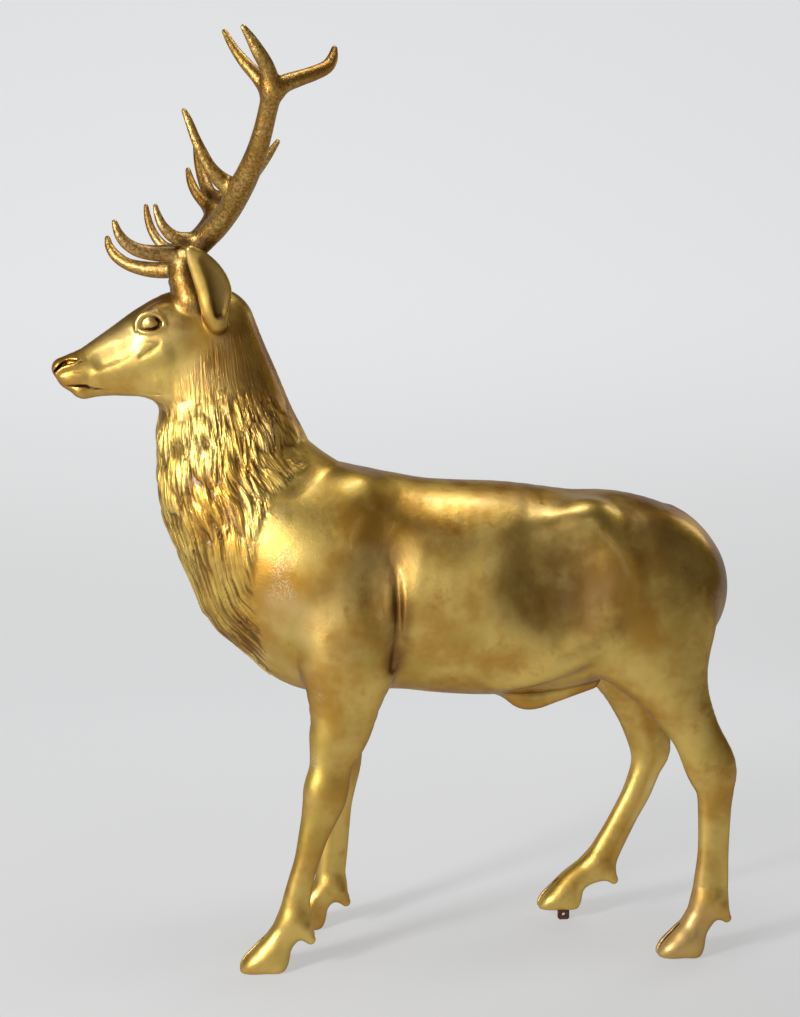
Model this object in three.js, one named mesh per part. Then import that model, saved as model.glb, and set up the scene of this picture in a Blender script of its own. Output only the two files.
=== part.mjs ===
// A standing red deer stag, cast in bronze at life size.
//
// Frame: millimetres, +Z up. The stag looks along -X, its left side faces -Y, and its soles stand
// on Z = 0. The finished group is moved so that the origin is at the middle of the footprint.
//
// The stag is one casting, so it is modelled as one solid. It is sculpted as a distance field:
// limbs that taper through a few stations, rounded muscle masses, and carved grooves. The field is
// then turned into a closed triangle mesh, and flat areas are thinned out to large triangles.

import * as THREE from 'three';

// ---------------------------------------------------------------------------------------------
// Driving dimensions
// ---------------------------------------------------------------------------------------------

const CELL = 6; // size of the sampling cells that the surface is drawn through
const BLOCK = 8; // cells along one side of a sampling block
const TRIANGLES = 9800; // budget of the finished casting
const MARGIN = 24; // free space around the sculpture while it is sampled
const SOLE_SLACK = 0.8; // lower vertices than this belong to the flat soles

const NECK_PIVOT = [-432, 0, 1500]; // where the skull sits on the neck
const HEAD_TURN = THREE.MathUtils.degToRad(8); // the head looks a little to the stag's left

const MANE = {
  columns: 15, // locks between the throat line and the nape, on each side
  lockLength: 118, // from the root of a lock to its tip
  relief: 9, // how far a lock stands out
  top: 1392, // height where the mane starts under the jaw
};

const LUG = { width: 30, height: 26, thickness: 8, hole: 4.5, x: 447, y: 131 };
const RAISED_SOLE = 26.3; // the far hind hoof stands on the fixing lug

// ---------------------------------------------------------------------------------------------
// Distance fields
// ---------------------------------------------------------------------------------------------

const clamp = (value, low, high) => Math.min(Math.max(value, low), high);

function smoothStep(from, to, value) {
  const t = clamp((value - from) / (to - from), 0, 1);
  return t * t * (3 - 2 * t);
}

function softUnion(a, b, blend) {
  const overlap = Math.max(blend - Math.abs(a - b), 0) / blend;
  return Math.min(a, b) - overlap * overlap * blend / 4;
}

function softCut(body, tool, blend) {
  return -softUnion(-body, tool, blend);
}

// A smooth curve through rows of numbers, with a fixed number of steps between two rows.
function throughRows(rows, steps) {
  const result = [];
  const last = rows.length - 1;
  for (let i = 0; i < last; i += 1) {
    const before = rows[Math.max(i - 1, 0)];
    const start = rows[i];
    const end = rows[i + 1];
    const after = rows[Math.min(i + 2, last)];
    for (let step = 0; step < steps; step += 1) {
      const t = step / steps;
      result.push(start.map((_, k) => 0.5 * (2 * start[k] + (end[k] - before[k]) * t
        + (2 * before[k] - 5 * start[k] + 4 * end[k] - after[k]) * t * t
        + (3 * start[k] - before[k] - 3 * end[k] + after[k]) * t * t * t)));
    }
  }
  result.push(rows[last].slice());
  return result;
}

// A limb follows stations [x, y, z, deep, wide]: deep is its radius seen from the side of the
// stag, and wide its radius across the stag. A station without wide is round.
class Limb {
  constructor(stations, steps = 4) {
    const rows = stations.map(([x, y, z, deep, wide = deep]) => [x, y, z, deep, wide]);
    this.knots = throughRows(rows, steps);
    this.spans = this.knots.slice(1).map((b, i) => {
      const a = this.knots[i];
      const [dx, dy, dz, deeper, wider] = b.map((v, k) => v - a[k]);
      const square = dx * dx + dy * dy + dz * dz;
      const reach = Math.max(a[3], a[4], b[3], b[4]);
      return { x: a[0], y: a[1], z: a[2], deep: a[3], wide: a[4], dx, dy, dz, deeper, wider, square, reach };
    });
    this.low = [0, 1, 2].map((k) => Math.min(...this.knots.map((n) => n[k] - Math.max(n[3], n[4]))));
    this.high = [0, 1, 2].map((k) => Math.max(...this.knots.map((n) => n[k] + Math.max(n[3], n[4]))));
  }

  // Distance to the limb, with where along it (0 to 1) the nearest place is.
  nearest(x, y, z) {
    let best = Infinity;
    let along = 0;
    const { spans } = this;
    for (let i = 0; i < spans.length; i += 1) {
      const s = spans[i];
      const px = x - s.x;
      const py = y - s.y;
      const pz = z - s.z;
      const t = clamp((px * s.dx + py * s.dy + pz * s.dz) / s.square, 0, 1);
      const side = py - t * s.dy;
      const front = px - t * s.dx;
      const up = pz - t * s.dz;
      const flat = front * front + up * up;
      const reach = best + s.reach;
      if (reach > 0 && flat + side * side > reach * reach) continue;
      const deep = s.deep + t * s.deeper;
      const wide = s.wide + t * s.wider;
      const u = flat / (deep * deep);
      const v = side * side / (wide * wide);
      const k0 = Math.sqrt(u + v);
      const k1 = Math.sqrt(u / (deep * deep) + v / (wide * wide));
      const distance = k1 < 1e-9 ? -Math.min(deep, wide) : k0 * (k0 - 1) / k1;
      if (distance < best) {
        best = distance;
        along = (i + t) / spans.length;
      }
    }
    return { distance: best, along };
  }

  distance(x, y, z) {
    return this.nearest(x, y, z).distance;
  }
}

// A rounded mass with three radii, leaned in the side view by a number of degrees.
class Mass {
  constructor([x, y, z], [long, wide, tall], lean = 0) {
    this.centre = [x, y, z];
    this.radii = [long, wide, tall];
    this.cos = Math.cos(THREE.MathUtils.degToRad(lean));
    this.sin = Math.sin(THREE.MathUtils.degToRad(lean));
    const reach = Math.max(long, wide, tall);
    this.low = this.centre.map((c) => c - reach);
    this.high = this.centre.map((c) => c + reach);
  }

  distance(x, y, z) {
    const [long, wide, tall] = this.radii;
    const px = x - this.centre[0];
    const pz = z - this.centre[2];
    const u = (px * this.cos + pz * this.sin) / long;
    const v = (y - this.centre[1]) / wide;
    const w = (pz * this.cos - px * this.sin) / tall;
    const k0 = Math.sqrt(u * u + v * v + w * w);
    const k1 = Math.sqrt((u / long) ** 2 + (v / wide) ** 2 + (w / tall) ** 2);
    return k1 < 1e-9 ? -Math.min(long, wide, tall) : k0 * (k0 - 1) / k1;
  }
}

// How far a point is outside the box around a field, at least.
function outside(field, x, y, z) {
  const dx = Math.max(field.low[0] - x, x - field.high[0], 0);
  const dy = Math.max(field.low[1] - y, y - field.high[1], 0);
  const dz = Math.max(field.low[2] - z, z - field.high[2], 0);
  return Math.hypot(dx, dy, dz);
}

// Fields joined one after another, each with its own blend, or carved out of what is there.
class Sculpt {
  constructor() {
    this.steps = [];
    this.low = [Infinity, Infinity, Infinity];
    this.high = [-Infinity, -Infinity, -Infinity];
  }

  add(blend, ...fields) {
    for (const field of fields) {
      this.steps.push({ field, blend, cut: false });
      this.low = this.low.map((v, k) => Math.min(v, field.low[k]));
      this.high = this.high.map((v, k) => Math.max(v, field.high[k]));
    }
  }

  carve(blend, ...fields) {
    for (const field of fields) this.steps.push({ field, blend, cut: true });
  }

  distance(x, y, z) {
    let result = 1e6;
    for (const { field, blend, cut } of this.steps) {
      if (outside(field, x, y, z) > (cut ? -result : result) + blend) continue;
      const distance = field.distance(x, y, z);
      result = cut ? softCut(result, distance, blend) : softUnion(result, distance, blend);
    }
    return result;
  }
}

// The same field on both sides of the plane y = 0.
function paired(field) {
  return {
    low: [field.low[0], -field.high[1], field.low[2]],
    high: field.high,
    distance: (x, y, z) => field.distance(x, Math.abs(y), z),
  };
}

// ---------------------------------------------------------------------------------------------
// Trunk: neck, chest, barrel and croup
// ---------------------------------------------------------------------------------------------

const neck = new Limb([
  [-450, -4, 1532, 97, 68],
  [-437, -2, 1452, 114, 78],
  [-431, 0, 1379, 138, 92],
  [-421, 0, 1274, 169, 112],
  [-404, 0, 1208, 184, 126],
  [-388, 0, 1143, 200, 138],
  [-345, 0, 1080, 214, 150],
  [-308, 0, 1020, 220, 160],
  [-150, 0, 930, 244, 172],
]);

const barrel = new Limb([
  [-150, 0, 924, 260, 182],
  [0, 0, 912, 261, 198],
  [126, 0, 901, 265, 216],
  [245, 0, 896, 265, 222],
  [403, 0, 893, 249, 210],
  [510, 0, 922, 217, 190],
  [592, 0, 912, 206, 172],
  [630, 0, 894, 198, 154],
]);

const brisket = new Limb([[-374, 0, 890, 112, 96], [-334, 0, 806, 70, 84], [-262, 0, 748, 72, 84],
  [-180, 0, 722, 70, 80]]);

const tail = new Limb([[680, 0, 1076, 22, 24], [724, 0, 1050, 22, 28], [762, 0, 1006, 22, 27],
  [788, 0, 950, 18, 20], [800, 0, 905, 12, 12]]);

const sheath = new Limb([[255, 0, 650, 18, 20], [298, 0, 620, 26, 24], [335, 0, 613, 26, 24],
  [390, 0, 626, 22, 22], [480, 0, 655, 20, 24]]);

// ---------------------------------------------------------------------------------------------
// Shoulders, thighs and legs
// ---------------------------------------------------------------------------------------------

const shoulderBlade = new Mass([-150, 98, 1026], [92, 84, 150], -18);
const shoulderPoint = new Mass([-226, 92, 960], [98, 88, 150], 20);
const upperArm = new Mass([-140, 132, 806], [120, 82, 172], 4);
const haunch = new Mass([602, 94, 915], [160, 92, 160], 10);
const hipBone = new Mass([410, 130, 1064], [72, 44, 34], 22);

// Carved and raised forms on the flanks, the same on both sides.
const elbowFold = new Limb([[-56, 196, 1000, 6, 12], [-36, 198, 960, 8, 16], [-28, 204, 900, 10, 20],
  [-26, 204, 840, 11, 22], [-26, 194, 782, 11, 22], [-32, 172, 724, 10, 18]]);
const shoulderValley = new Mass([-56, 238, 985], [48, 50, 120], -12);
const flankHollow = new Mass([366, 330, 935], [150, 136, 170], 12);
const stifleRidge = new Limb([[430, 132, 1040, 40], [466, 143, 985, 46], [482, 146, 930, 52],
  [468, 146, 850, 58]]);
const flankFold = new Limb([[230, 104, 684, 22], [285, 132, 700, 30], [345, 150, 730, 40],
  [410, 156, 772, 50], [470, 154, 806, 56]]);

const nearForeleg = new Limb([
  [-140, -118, 720, 104, 66],
  [-152, -120, 601, 77, 56],
  [-162, -121, 561, 70, 50],
  [-174, -122, 517, 57, 43],
  [-182, -123, 478, 51, 40],
  [-192, -124, 433, 54, 42],
  [-197, -124, 406, 51, 39],
  [-210, -124, 361, 42, 32],
  [-222, -124, 323, 36, 29],
  [-238, -124, 264, 30, 26],
  [-252, -124, 216, 30, 26],
  [-263, -124, 168, 33, 28],
  [-270, -124, 120, 38, 33],
]);

const farForeleg = new Limb([
  [-120, 128, 720, 104, 66],
  [-130, 136, 601, 75, 56],
  [-134, 141, 517, 56, 43],
  [-140, 145, 433, 54, 42],
  [-145, 147, 380, 47, 37],
  [-150, 149, 323, 40, 30],
  [-154, 150, 252, 37, 27],
  [-160, 150, 196, 38, 27],
  [-165, 150, 147, 38, 29],
  [-166, 150, 112, 37, 33],
]);

const nearThigh = new Mass([600, -112, 812], [156, 86, 172], 24);
const nearHindLeg = new Limb([
  [560, -118, 800, 130, 70],
  [636, -128, 690, 97, 64],
  [671, -134, 620, 75, 54],
  [711, -138, 545, 60, 44],
  [747, -141, 466, 63, 38],
  [758, -142, 415, 48, 33],
  [758, -142, 359, 41, 29],
  [756, -142, 257, 38, 27],
  [752, -142, 190, 42, 29],
  [748, -142, 134, 45, 34],
]);

const farThigh = new Mass([606, 112, 800], [154, 86, 180], 16);
const farHindLeg = new Limb([
  [540, 118, 790, 130, 70],
  [608, 128, 655, 84, 64],
  [646, 138, 568, 66, 52],
  [668, 144, 505, 58, 44],
  [684, 148, 447, 54, 38],
  [673, 150, 396, 41, 33],
  [648, 150, 329, 37, 29],
  [620, 150, 276, 35, 27],
  [592, 150, 223, 36, 27],
  [566, 150, 176, 39, 30],
  [546, 150, 138, 43, 34],
]);

// A cloven foot: the pastern, a smooth hoof split by a cleft, and two dewclaws behind the fetlock.
function addFoot(sculpt, [fetlockX, y, fetlockZ], toeX, sole) {
  const pastern = new Limb([
    [fetlockX, y, fetlockZ, 38, 34],
    [(fetlockX + toeX + 98) / 2, y, (fetlockZ + sole + 74) / 2, 36, 33],
    [toeX + 92, y, sole + 66, 34, 34],
    [toeX + 78, y, sole + 50, 34, 34],
  ]);
  const hoof = new Limb([
    [toeX + 84, y, sole + 38, 36, 38],
    [toeX + 58, y, sole + 28, 36, 42],
    [toeX + 34, y, sole + 18, 27, 38],
    [toeX + 16, y, sole + 10, 15, 28],
  ]);
  const heel = new Mass([toeX + 88, y, sole + 16], [26, 36, 28]);
  sculpt.add(18, pastern, hoof, heel);
  const cleft = new Limb([
    [toeX - 4, y, sole + 6, 18, 5],
    [toeX + 24, y, sole + 40, 16, 4],
    [toeX + 52, y, sole + 68, 12, 3],
  ]);
  sculpt.carve(5, cleft);
  for (const side of [-1, 1]) {
    const dewclaw = new Limb([
      [fetlockX + 22, y + side * 15, fetlockZ - 18, 20],
      [fetlockX + 37, y + side * 18, fetlockZ - 38, 12],
    ]);
    sculpt.add(14, dewclaw);
  }
}

// ---------------------------------------------------------------------------------------------
// Head, in its own frame: the origin is the neck pivot, and the muzzle points along -x
// ---------------------------------------------------------------------------------------------

function makeHead() {
  const head = new Sculpt();
  const skull = new Mass([-74, 0, 24], [106, 74, 97], 12);
  const face = new Limb([
    [-115, 0, -12, 119, 74],
    [-150, 0, -22, 109, 68],
    [-209, 0, -43, 90, 56],
    [-273, 0, -63, 68, 43],
    [-334, 0, -82, 47, 36],
  ]);
  const nose = new Limb([[-340, 0, -70, 38, 32], [-374, 0, -70, 26, 29]]);
  const upperLip = new Limb([[-330, 0, -92, 24, 30], [-362, 0, -92, 23, 27]]);
  const chin = new Limb([[-280, 0, -98, 28, 24], [-326, 0, -118, 23, 24]]);
  const jaw = new Limb([
    [-60, 34, -78, 72, 34], [-120, 30, -90, 62, 34], [-200, 22, -91, 39, 24], [-280, 10, -98, 26, 18],
  ]);
  const browRidge = new Mass([-168, 52, 52], [46, 22, 22], 34);
  const cheekBone = new Limb([[-110, 60, 10, 20, 14], [-170, 54, -8, 20, 16], [-230, 40, -30, 18, 12]]);
  const eyeSocket = new Mass([-176, 70, 34], [24, 14, 19], 20);
  const upperLid = new Limb([[-200, 55, 24, 7], [-188, 62, 46, 8], [-168, 66, 50, 8], [-150, 66, 36, 7]]);
  const lowerLid = new Limb([[-206, 50, 14, 6], [-188, 62, 16, 7], [-168, 66, 18, 7], [-150, 66, 34, 6]]);
  const eyeball = new Mass([-175, 49, 34], [19, 20, 18]);
  const nostril = new Limb([[-393, 18, -72, 7], [-380, 24, -64, 8], [-356, 29, -56, 6]]);
  const mouth = new Limb([
    [-376, 0, -115, 4, 30], [-350, 24, -111, 4, 16], [-310, 34, -116, 4, 14], [-262, 44, -108, 4, 12],
  ]);

  head.add(30, skull, face);
  head.add(14, nose);
  head.add(12, upperLip);
  head.add(16, chin, paired(jaw));
  head.add(20, paired(browRidge), paired(cheekBone));
  head.carve(8, paired(eyeSocket));
  head.add(3, paired(eyeball));
  head.add(6, paired(upperLid), paired(lowerLid));
  head.carve(6, paired(nostril), paired(mouth));
  return head;
}

// A field carried by a frame that is turned about the vertical through a pivot.
function turned(field, [px, py, pz], angle) {
  const cos = Math.cos(angle);
  const sin = Math.sin(angle);
  const reach = Math.hypot(...field.low.map((v, k) => Math.max(Math.abs(v), Math.abs(field.high[k]))));
  return {
    low: [px - reach, py - reach, pz - reach],
    high: [px + reach, py + reach, pz + reach],
    distance: (x, y, z) => {
      const ahead = x - px;
      const aside = y - py;
      return field.distance(cos * ahead + sin * aside, cos * aside - sin * ahead, z - pz);
    },
  };
}

// ---------------------------------------------------------------------------------------------
// Ears: a leaf with a hollow, in a frame whose z runs from root to tip and whose y looks out
// ---------------------------------------------------------------------------------------------

function makeEar(root, tip, facing, side) {
  const length = new THREE.Vector3().subVectors(tip, root);
  const size = length.length();
  const up = length.clone().normalize();
  const out = facing.clone().addScaledVector(up, -facing.dot(up)).normalize();
  const across = new THREE.Vector3().crossVectors(out, up).multiplyScalar(side);
  const leaf = new Limb([
    [2, 0, 4, 24, 22],
    [-4, 2, size * 0.2, 33, 24],
    [-18, 0, size * 0.4, 41, 20],
    [-18, -2, size * 0.6, 37, 17],
    [-10, -4, size * 0.8, 26, 13],
    [-2, -4, size * 0.93, 14, 10],
    [0, 0, size - 6, 8, 7],
  ]);
  const hollow = new Limb([
    [-10, 27, size * 0.16, 14, 20],
    [-24, 27, size * 0.26, 26, 22],
    [-38, 26, size * 0.4, 36, 21],
    [-37, 21, size * 0.62, 31, 16],
    [-26, 14, size * 0.8, 18, 9],
  ]);
  const ear = new Sculpt();
  ear.add(8, leaf);
  ear.carve(5, hollow);
  const reach = size + 60;
  return {
    low: root.toArray().map((v) => v - reach),
    high: root.toArray().map((v) => v + reach),
    distance: (x, y, z) => {
      const px = x - root.x;
      const py = y - root.y;
      const pz = z - root.z;
      return ear.distance(
        across.x * px + across.y * py + across.z * pz,
        out.x * px + out.y * py + out.z * pz,
        up.x * px + up.y * py + up.z * pz,
      );
    },
  };
}

const nearEar = makeEar(new THREE.Vector3(-438, -86, 1532), new THREE.Vector3(-505, -150, 1704),
  new THREE.Vector3(0.1, -1, 0), 1);
const farEar = makeEar(new THREE.Vector3(-461, 81, 1532), new THREE.Vector3(-544, 124, 1704),
  new THREE.Vector3(-0.2, 1, 0), -1);

// ---------------------------------------------------------------------------------------------
// Antlers: a beam with its tines, each a limb of round stations [x, y, z, radius]
// ---------------------------------------------------------------------------------------------

const nearAntler = {
  burr: [-522, -50, 1646],
  beam: [[-502, -58, 1592, 40], [-516, -52, 1638, 33], [-520, -52, 1683, 26], [-501, -62, 1705, 28],
    [-474, -85, 1728, 27], [-443, -125, 1753, 27], [-412, -180, 1783, 26], [-392, -230, 1813, 28],
    [-371, -285, 1842, 26],
    [-352, -340, 1877, 23], [-339, -385, 1910, 21], [-329, -420, 1944, 20], [-318, -462, 1986, 21]],
  tines: [
    [[-515, -52, 1697, 22], [-564, -65, 1699, 20], [-598, -78, 1699, 18], [-627, -90, 1704, 16],
      [-651, -100, 1718, 14], [-666, -108, 1738, 11], [-674, -112, 1762, 7]],
    [[-482, -78, 1730, 20], [-521, -90, 1729, 17], [-545, -100, 1736, 15], [-565, -108, 1756, 12],
      [-576, -112, 1780, 9], [-581, -114, 1800, 6]],
    [[-398, -220, 1822, 24], [-431, -235, 1842, 19], [-453, -250, 1865, 15], [-470, -262, 1895, 13],
      [-484, -270, 1925, 11], [-497, -275, 1959, 9], [-507, -277, 1980, 6]],
    [[-321, -455, 1976, 19], [-348, -450, 2012, 15], [-372, -440, 2040, 13], [-393, -430, 2069, 10],
      [-407, -420, 2094, 8], [-416, -415, 2112, 6]],
    [[-317, -466, 1984, 20], [-330, -490, 2022, 16], [-348, -510, 2048, 14], [-364, -520, 2072, 10],
      [-377, -530, 2088, 6]],
    [[-314, -463, 1984, 20], [-290, -455, 2000, 18], [-260, -440, 2015, 16], [-230, -425, 2030, 15],
      [-204, -410, 2047, 14], [-191, -400, 2067, 12], [-186, -395, 2090, 7]],
  ],
};

const farAntler = {
  burr: [-530, 24, 1648],
  beam: [[-514, 30, 1592, 38], [-528, 30, 1638, 31], [-532, 36, 1692, 25], [-511, 66, 1733, 26],
    [-483, 110, 1769, 25], [-462, 170, 1814, 23], [-456, 240, 1856, 23], [-450, 310, 1889, 23]],
  tines: [
    [[-532, 50, 1680, 22], [-584, 60, 1676, 20], [-625, 70, 1681, 18], [-662, 80, 1692, 15],
      [-689, 88, 1711, 14], [-706, 93, 1734, 11], [-711, 95, 1756, 7]],
    [[-518, 68, 1728, 17], [-560, 80, 1729, 15], [-585, 88, 1747, 13], [-604, 95, 1777, 11],
      [-614, 100, 1809, 9], [-618, 102, 1837, 6]],
    [[-456, 216, 1845, 20], [-481, 235, 1872, 15], [-502, 250, 1900, 13], [-515, 260, 1930, 11],
      [-522, 265, 1959, 7]],
    [[-450, 305, 1886, 23], [-471, 330, 1915, 19], [-487, 350, 1958, 16], [-498, 360, 2002, 13],
      [-505, 365, 2038, 8]],
    [[-450, 308, 1888, 22], [-430, 350, 1908, 20], [-390, 390, 1941, 18], [-346, 410, 1989, 15],
      [-314, 410, 2032, 12], [-288, 405, 2068, 7]],
  ],
};

function addAntler(sculpt, { burr, beam, tines }) {
  sculpt.add(14, new Limb(beam));
  for (const tine of tines) sculpt.add(12, new Limb(tine));
  sculpt.add(8, new Mass(burr, [31, 31, 11], 10));
}

// ---------------------------------------------------------------------------------------------
// Mane: rows of pointed locks that run down the neck to the chest
// ---------------------------------------------------------------------------------------------

const NECK_LENGTH = 640; // along the middle of the neck, from the skull to the chest
const MANE_EDGE = [[1204, -221], [1135, -299], [1043, -346], [891, -358], [727, -323], [640, -280]];

// The rear edge of the mane at a height, as an x.
function maneEdge(z) {
  for (let i = 0; i + 1 < MANE_EDGE.length; i += 1) {
    const [z0, x0] = MANE_EDGE[i];
    const [z1, x1] = MANE_EDGE[i + 1];
    if (z > z1) return x0 + (x1 - x0) * clamp((z0 - z) / (z0 - z1), 0, 1);
  }
  return MANE_EDGE[MANE_EDGE.length - 1][1];
}

// A repeatable number from 0 to 1 for a lock's column and row.
function scatter(column, row) {
  const mixed = Math.sin(column * 127.1 + row * 311.7) * 43758.5453;
  return mixed - Math.floor(mixed);
}

function maneRelief(x, y, z) {
  const cover = smoothStep(0, 40, maneEdge(z) - x) * smoothStep(0, 30, MANE.top - z);
  if (cover === 0) return 0;
  const { along } = neck.nearest(x, y, z);
  const place = neck.knots[Math.round(along * (neck.knots.length - 1))];
  const run = along * NECK_LENGTH;
  const angle = Math.atan2(Math.abs(y), (place[0] - x) * 0.8);
  const column = angle / Math.PI * MANE.columns;
  const wave = 0.35 * Math.sin(run / 60 + column);
  const which = Math.floor(column + wave);
  const across = column + wave - which - 0.5;
  const slide = scatter(which, 1) + 0.25 * Math.sign(y) * scatter(which, 3);
  const down = run / MANE.lockLength + slide;
  const t = down - Math.floor(down);
  const width = 0.5 * (1 - 0.45 * t * t);
  const ridge = Math.max(1 - (across / width) ** 2, 0);
  return cover * MANE.relief * (ridge * (0.35 + 0.65 * Math.sin(Math.PI * Math.min(t + 0.25, 1))) - 0.35);
}

// ---------------------------------------------------------------------------------------------
// The whole stag
// ---------------------------------------------------------------------------------------------

function makeStag() {
  const stag = new Sculpt();
  stag.add(90, neck, barrel);
  stag.add(50, brisket);
  stag.add(60, paired(shoulderBlade), paired(shoulderPoint), paired(haunch));
  stag.add(20, paired(upperArm));
  stag.add(70, paired(hipBone), paired(stifleRidge));
  stag.add(30, paired(flankFold));
  stag.add(40, nearForeleg, farForeleg, nearThigh, nearHindLeg, farThigh, farHindLeg);
  stag.carve(90, paired(flankHollow));
  stag.carve(60, paired(shoulderValley));
  stag.carve(12, paired(elbowFold));
  stag.add(14, tail);
  stag.add(26, sheath);
  stag.add(34, turned(makeHead(), NECK_PIVOT, HEAD_TURN));
  stag.add(14, nearEar, farEar);
  addFoot(stag, [-268, -124, 114], -401, 0);
  addFoot(stag, [-164, 150, 106], -298, 0);
  addFoot(stag, [748, -142, 132], 614, 0);
  addFoot(stag, [546, 150, 138], 380, RAISED_SOLE);
  addAntler(stag, nearAntler);
  addAntler(stag, farAntler);
  return stag;
}

const stag = makeStag();

function surface(x, y, z) {
  let distance = stag.distance(x, y, z);
  if (z > 600 && z < MANE.top && x < -200 && Math.abs(distance) < 3 * MANE.relief) {
    distance -= maneRelief(x, y, z);
  }
  const sole = x > 300 && x < 520 && y > 80 ? RAISED_SOLE : 0;
  return Math.max(distance, sole - z);
}

// ---------------------------------------------------------------------------------------------
// From field to mesh
// ---------------------------------------------------------------------------------------------

// Draws a closed surface where the field is zero: one vertex for each sheet of surface that
// passes through a cell, and one square for each cell edge that the surface crosses.
function drawSurface(field, low, high) {
  const counts = low.map((v, k) => Math.ceil((high[k] - v) / (CELL * BLOCK)) * BLOCK + 1);
  const [nx, ny, nz] = counts;
  const values = new Float32Array(nx * ny * nz);
  const index = (i, j, k) => (k * ny + j) * nx + i;
  const half = CELL * BLOCK / 2;
  const safe = half * Math.sqrt(3) * 1.6 + MANE.relief;
  const nearBlocks = [];
  for (let bk = 0; bk < nz - 1; bk += BLOCK) {
    for (let bj = 0; bj < ny - 1; bj += BLOCK) {
      for (let bi = 0; bi < nx - 1; bi += BLOCK) {
        const [mx, my, mz] = [bi, bj, bk].map((v, k) => low[k] + v * CELL + half);
        const middle = stag.distance(mx, my, mz);
        if (Math.abs(middle) < safe) {
          nearBlocks.push([bi, bj, bk]);
          continue;
        }
        for (let k = bk; k <= bk + BLOCK; k += 1) {
          for (let j = bj; j <= bj + BLOCK; j += 1) {
            values.fill(middle, index(bi, j, k), index(bi, j, k) + BLOCK + 1);
          }
        }
      }
    }
  }
  const done = new Uint8Array(values.length);
  const everyCell = (visit, over) => {
    for (const [bi, bj, bk] of nearBlocks) {
      for (let k = bk; k < bk + BLOCK + over; k += 1) {
        for (let j = bj; j < bj + BLOCK + over; j += 1) {
          for (let i = bi; i < bi + BLOCK + over; i += 1) visit(i, j, k, index(i, j, k));
        }
      }
    }
  };
  everyCell((i, j, k, at) => {
    if (done[at]) return;
    done[at] = 1;
    values[at] = field(low[0] + i * CELL, low[1] + j * CELL, low[2] + k * CELL) || 1e-4;
  }, 1);

  const corners = [[0, 0, 0], [1, 0, 0], [0, 1, 0], [1, 1, 0], [0, 0, 1], [1, 0, 1], [0, 1, 1], [1, 1, 1]];
  const cornerSteps = corners.map(([a, b, c]) => index(a, b, c));
  const edges = [];
  for (let a = 0; a < 8; a += 1) {
    for (const bit of [1, 2, 4]) if (!(a & bit)) edges.push([a, a | bit]);
  }
  const faces = [];
  for (const bit of [1, 2, 4]) {
    for (const side of [0, bit]) {
      faces.push(edges.flatMap(([a, b], e) => ((a & bit) === side && (b & bit) === side ? [e] : [])));
    }
  }

  const positions = [];
  const sheets = new Map(); // cell and edge to vertex
  everyCell((i, j, k, cell) => {
    let below = 0;
    for (const step of cornerSteps) if (values[cell + step] < 0) below += 1;
    if (below === 0 || below === 8) return;
    const value = cornerSteps.map((step) => values[cell + step]);
    const parent = edges.map((_, e) => e);
    const root = (e) => (parent[e] === e ? e : root(parent[e]));
    const crossed = edges.map(([a, b]) => value[a] < 0 !== value[b] < 0);
    for (const face of faces) {
      const cut = face.filter((e) => crossed[e]);
      if (cut.length === 2) parent[root(cut[0])] = root(cut[1]);
      if (cut.length < 4) continue;
      for (const e of cut) {
        for (const f of cut) {
          const shared = edges[e].find((v) => edges[f].includes(v));
          if (e < f && shared !== undefined && value[shared] < 0) parent[root(e)] = root(f);
        }
      }
    }
    const sums = new Map();
    edges.forEach(([a, b], e) => {
      if (!crossed[e]) return;
      const t = value[a] / (value[a] - value[b]);
      const group = root(e);
      if (!sums.has(group)) sums.set(group, [0, 0, 0, 0]);
      const sum = sums.get(group);
      for (let axis = 0; axis < 3; axis += 1) {
        sum[axis] += corners[a][axis] + t * (corners[b][axis] - corners[a][axis]);
      }
      sum[3] += 1;
    });
    const vertexOf = new Map();
    for (const [group, [sx, sy, sz, n]] of sums) {
      vertexOf.set(group, positions.length / 3);
      const steps = [i + sx / n, j + sy / n, k + sz / n];
      positions.push(...steps.map((v, m) => low[m] + v * CELL));
    }
    edges.forEach((_, e) => {
      if (crossed[e]) sheets.set(cell * 12 + e, vertexOf.get(root(e)));
    });
  }, 0);

  const edgeIndex = (a, b) => edges.findIndex(([p, q]) => p === a && q === b);
  const triangles = [];
  const strides = [1, nx, nx * ny];
  for (let axis = 0; axis < 3; axis += 1) {
    const bit = 1 << axis;
    const p = (axis + 1) % 3;
    const q = (axis + 2) % 3;
    const around = [[0, 0], [1, 0], [1, 1], [0, 1]].map(([a, b]) => {
      const corner = a * (1 << p) + b * (1 << q);
      return { edge: edgeIndex(corner, corner | bit), back: a * strides[p] + b * strides[q] };
    });
    everyCell((i, j, k, at) => {
      const here = values[at] < 0;
      if (here === values[at + strides[axis]] < 0) return;
      const ring = around.map(({ edge, back }) => sheets.get((at - back) * 12 + edge));
      if (here) ring.reverse();
      triangles.push(ring[0], ring[2], ring[1], ring[0], ring[3], ring[2]);
    }, 0);
  }
  return { positions, triangles };
}

// A binary heap of [cost, ...] entries, cheapest first.
class Heap {
  constructor() {
    this.items = [];
  }

  push(item) {
    const { items } = this;
    let at = items.push(item) - 1;
    while (at > 0) {
      const up = (at - 1) >> 1;
      if (items[up][0] <= items[at][0]) break;
      [items[up], items[at]] = [items[at], items[up]];
      at = up;
    }
  }

  pop() {
    const { items } = this;
    const top = items[0];
    const last = items.pop();
    if (items.length) {
      items[0] = last;
      let at = 0;
      for (;;) {
        let least = at;
        for (const down of [2 * at + 1, 2 * at + 2]) {
          if (down < items.length && items[down][0] < items[least][0]) least = down;
        }
        if (least === at) break;
        [items[least], items[at]] = [items[at], items[least]];
        at = least;
      }
    }
    return top;
  }
}

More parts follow.
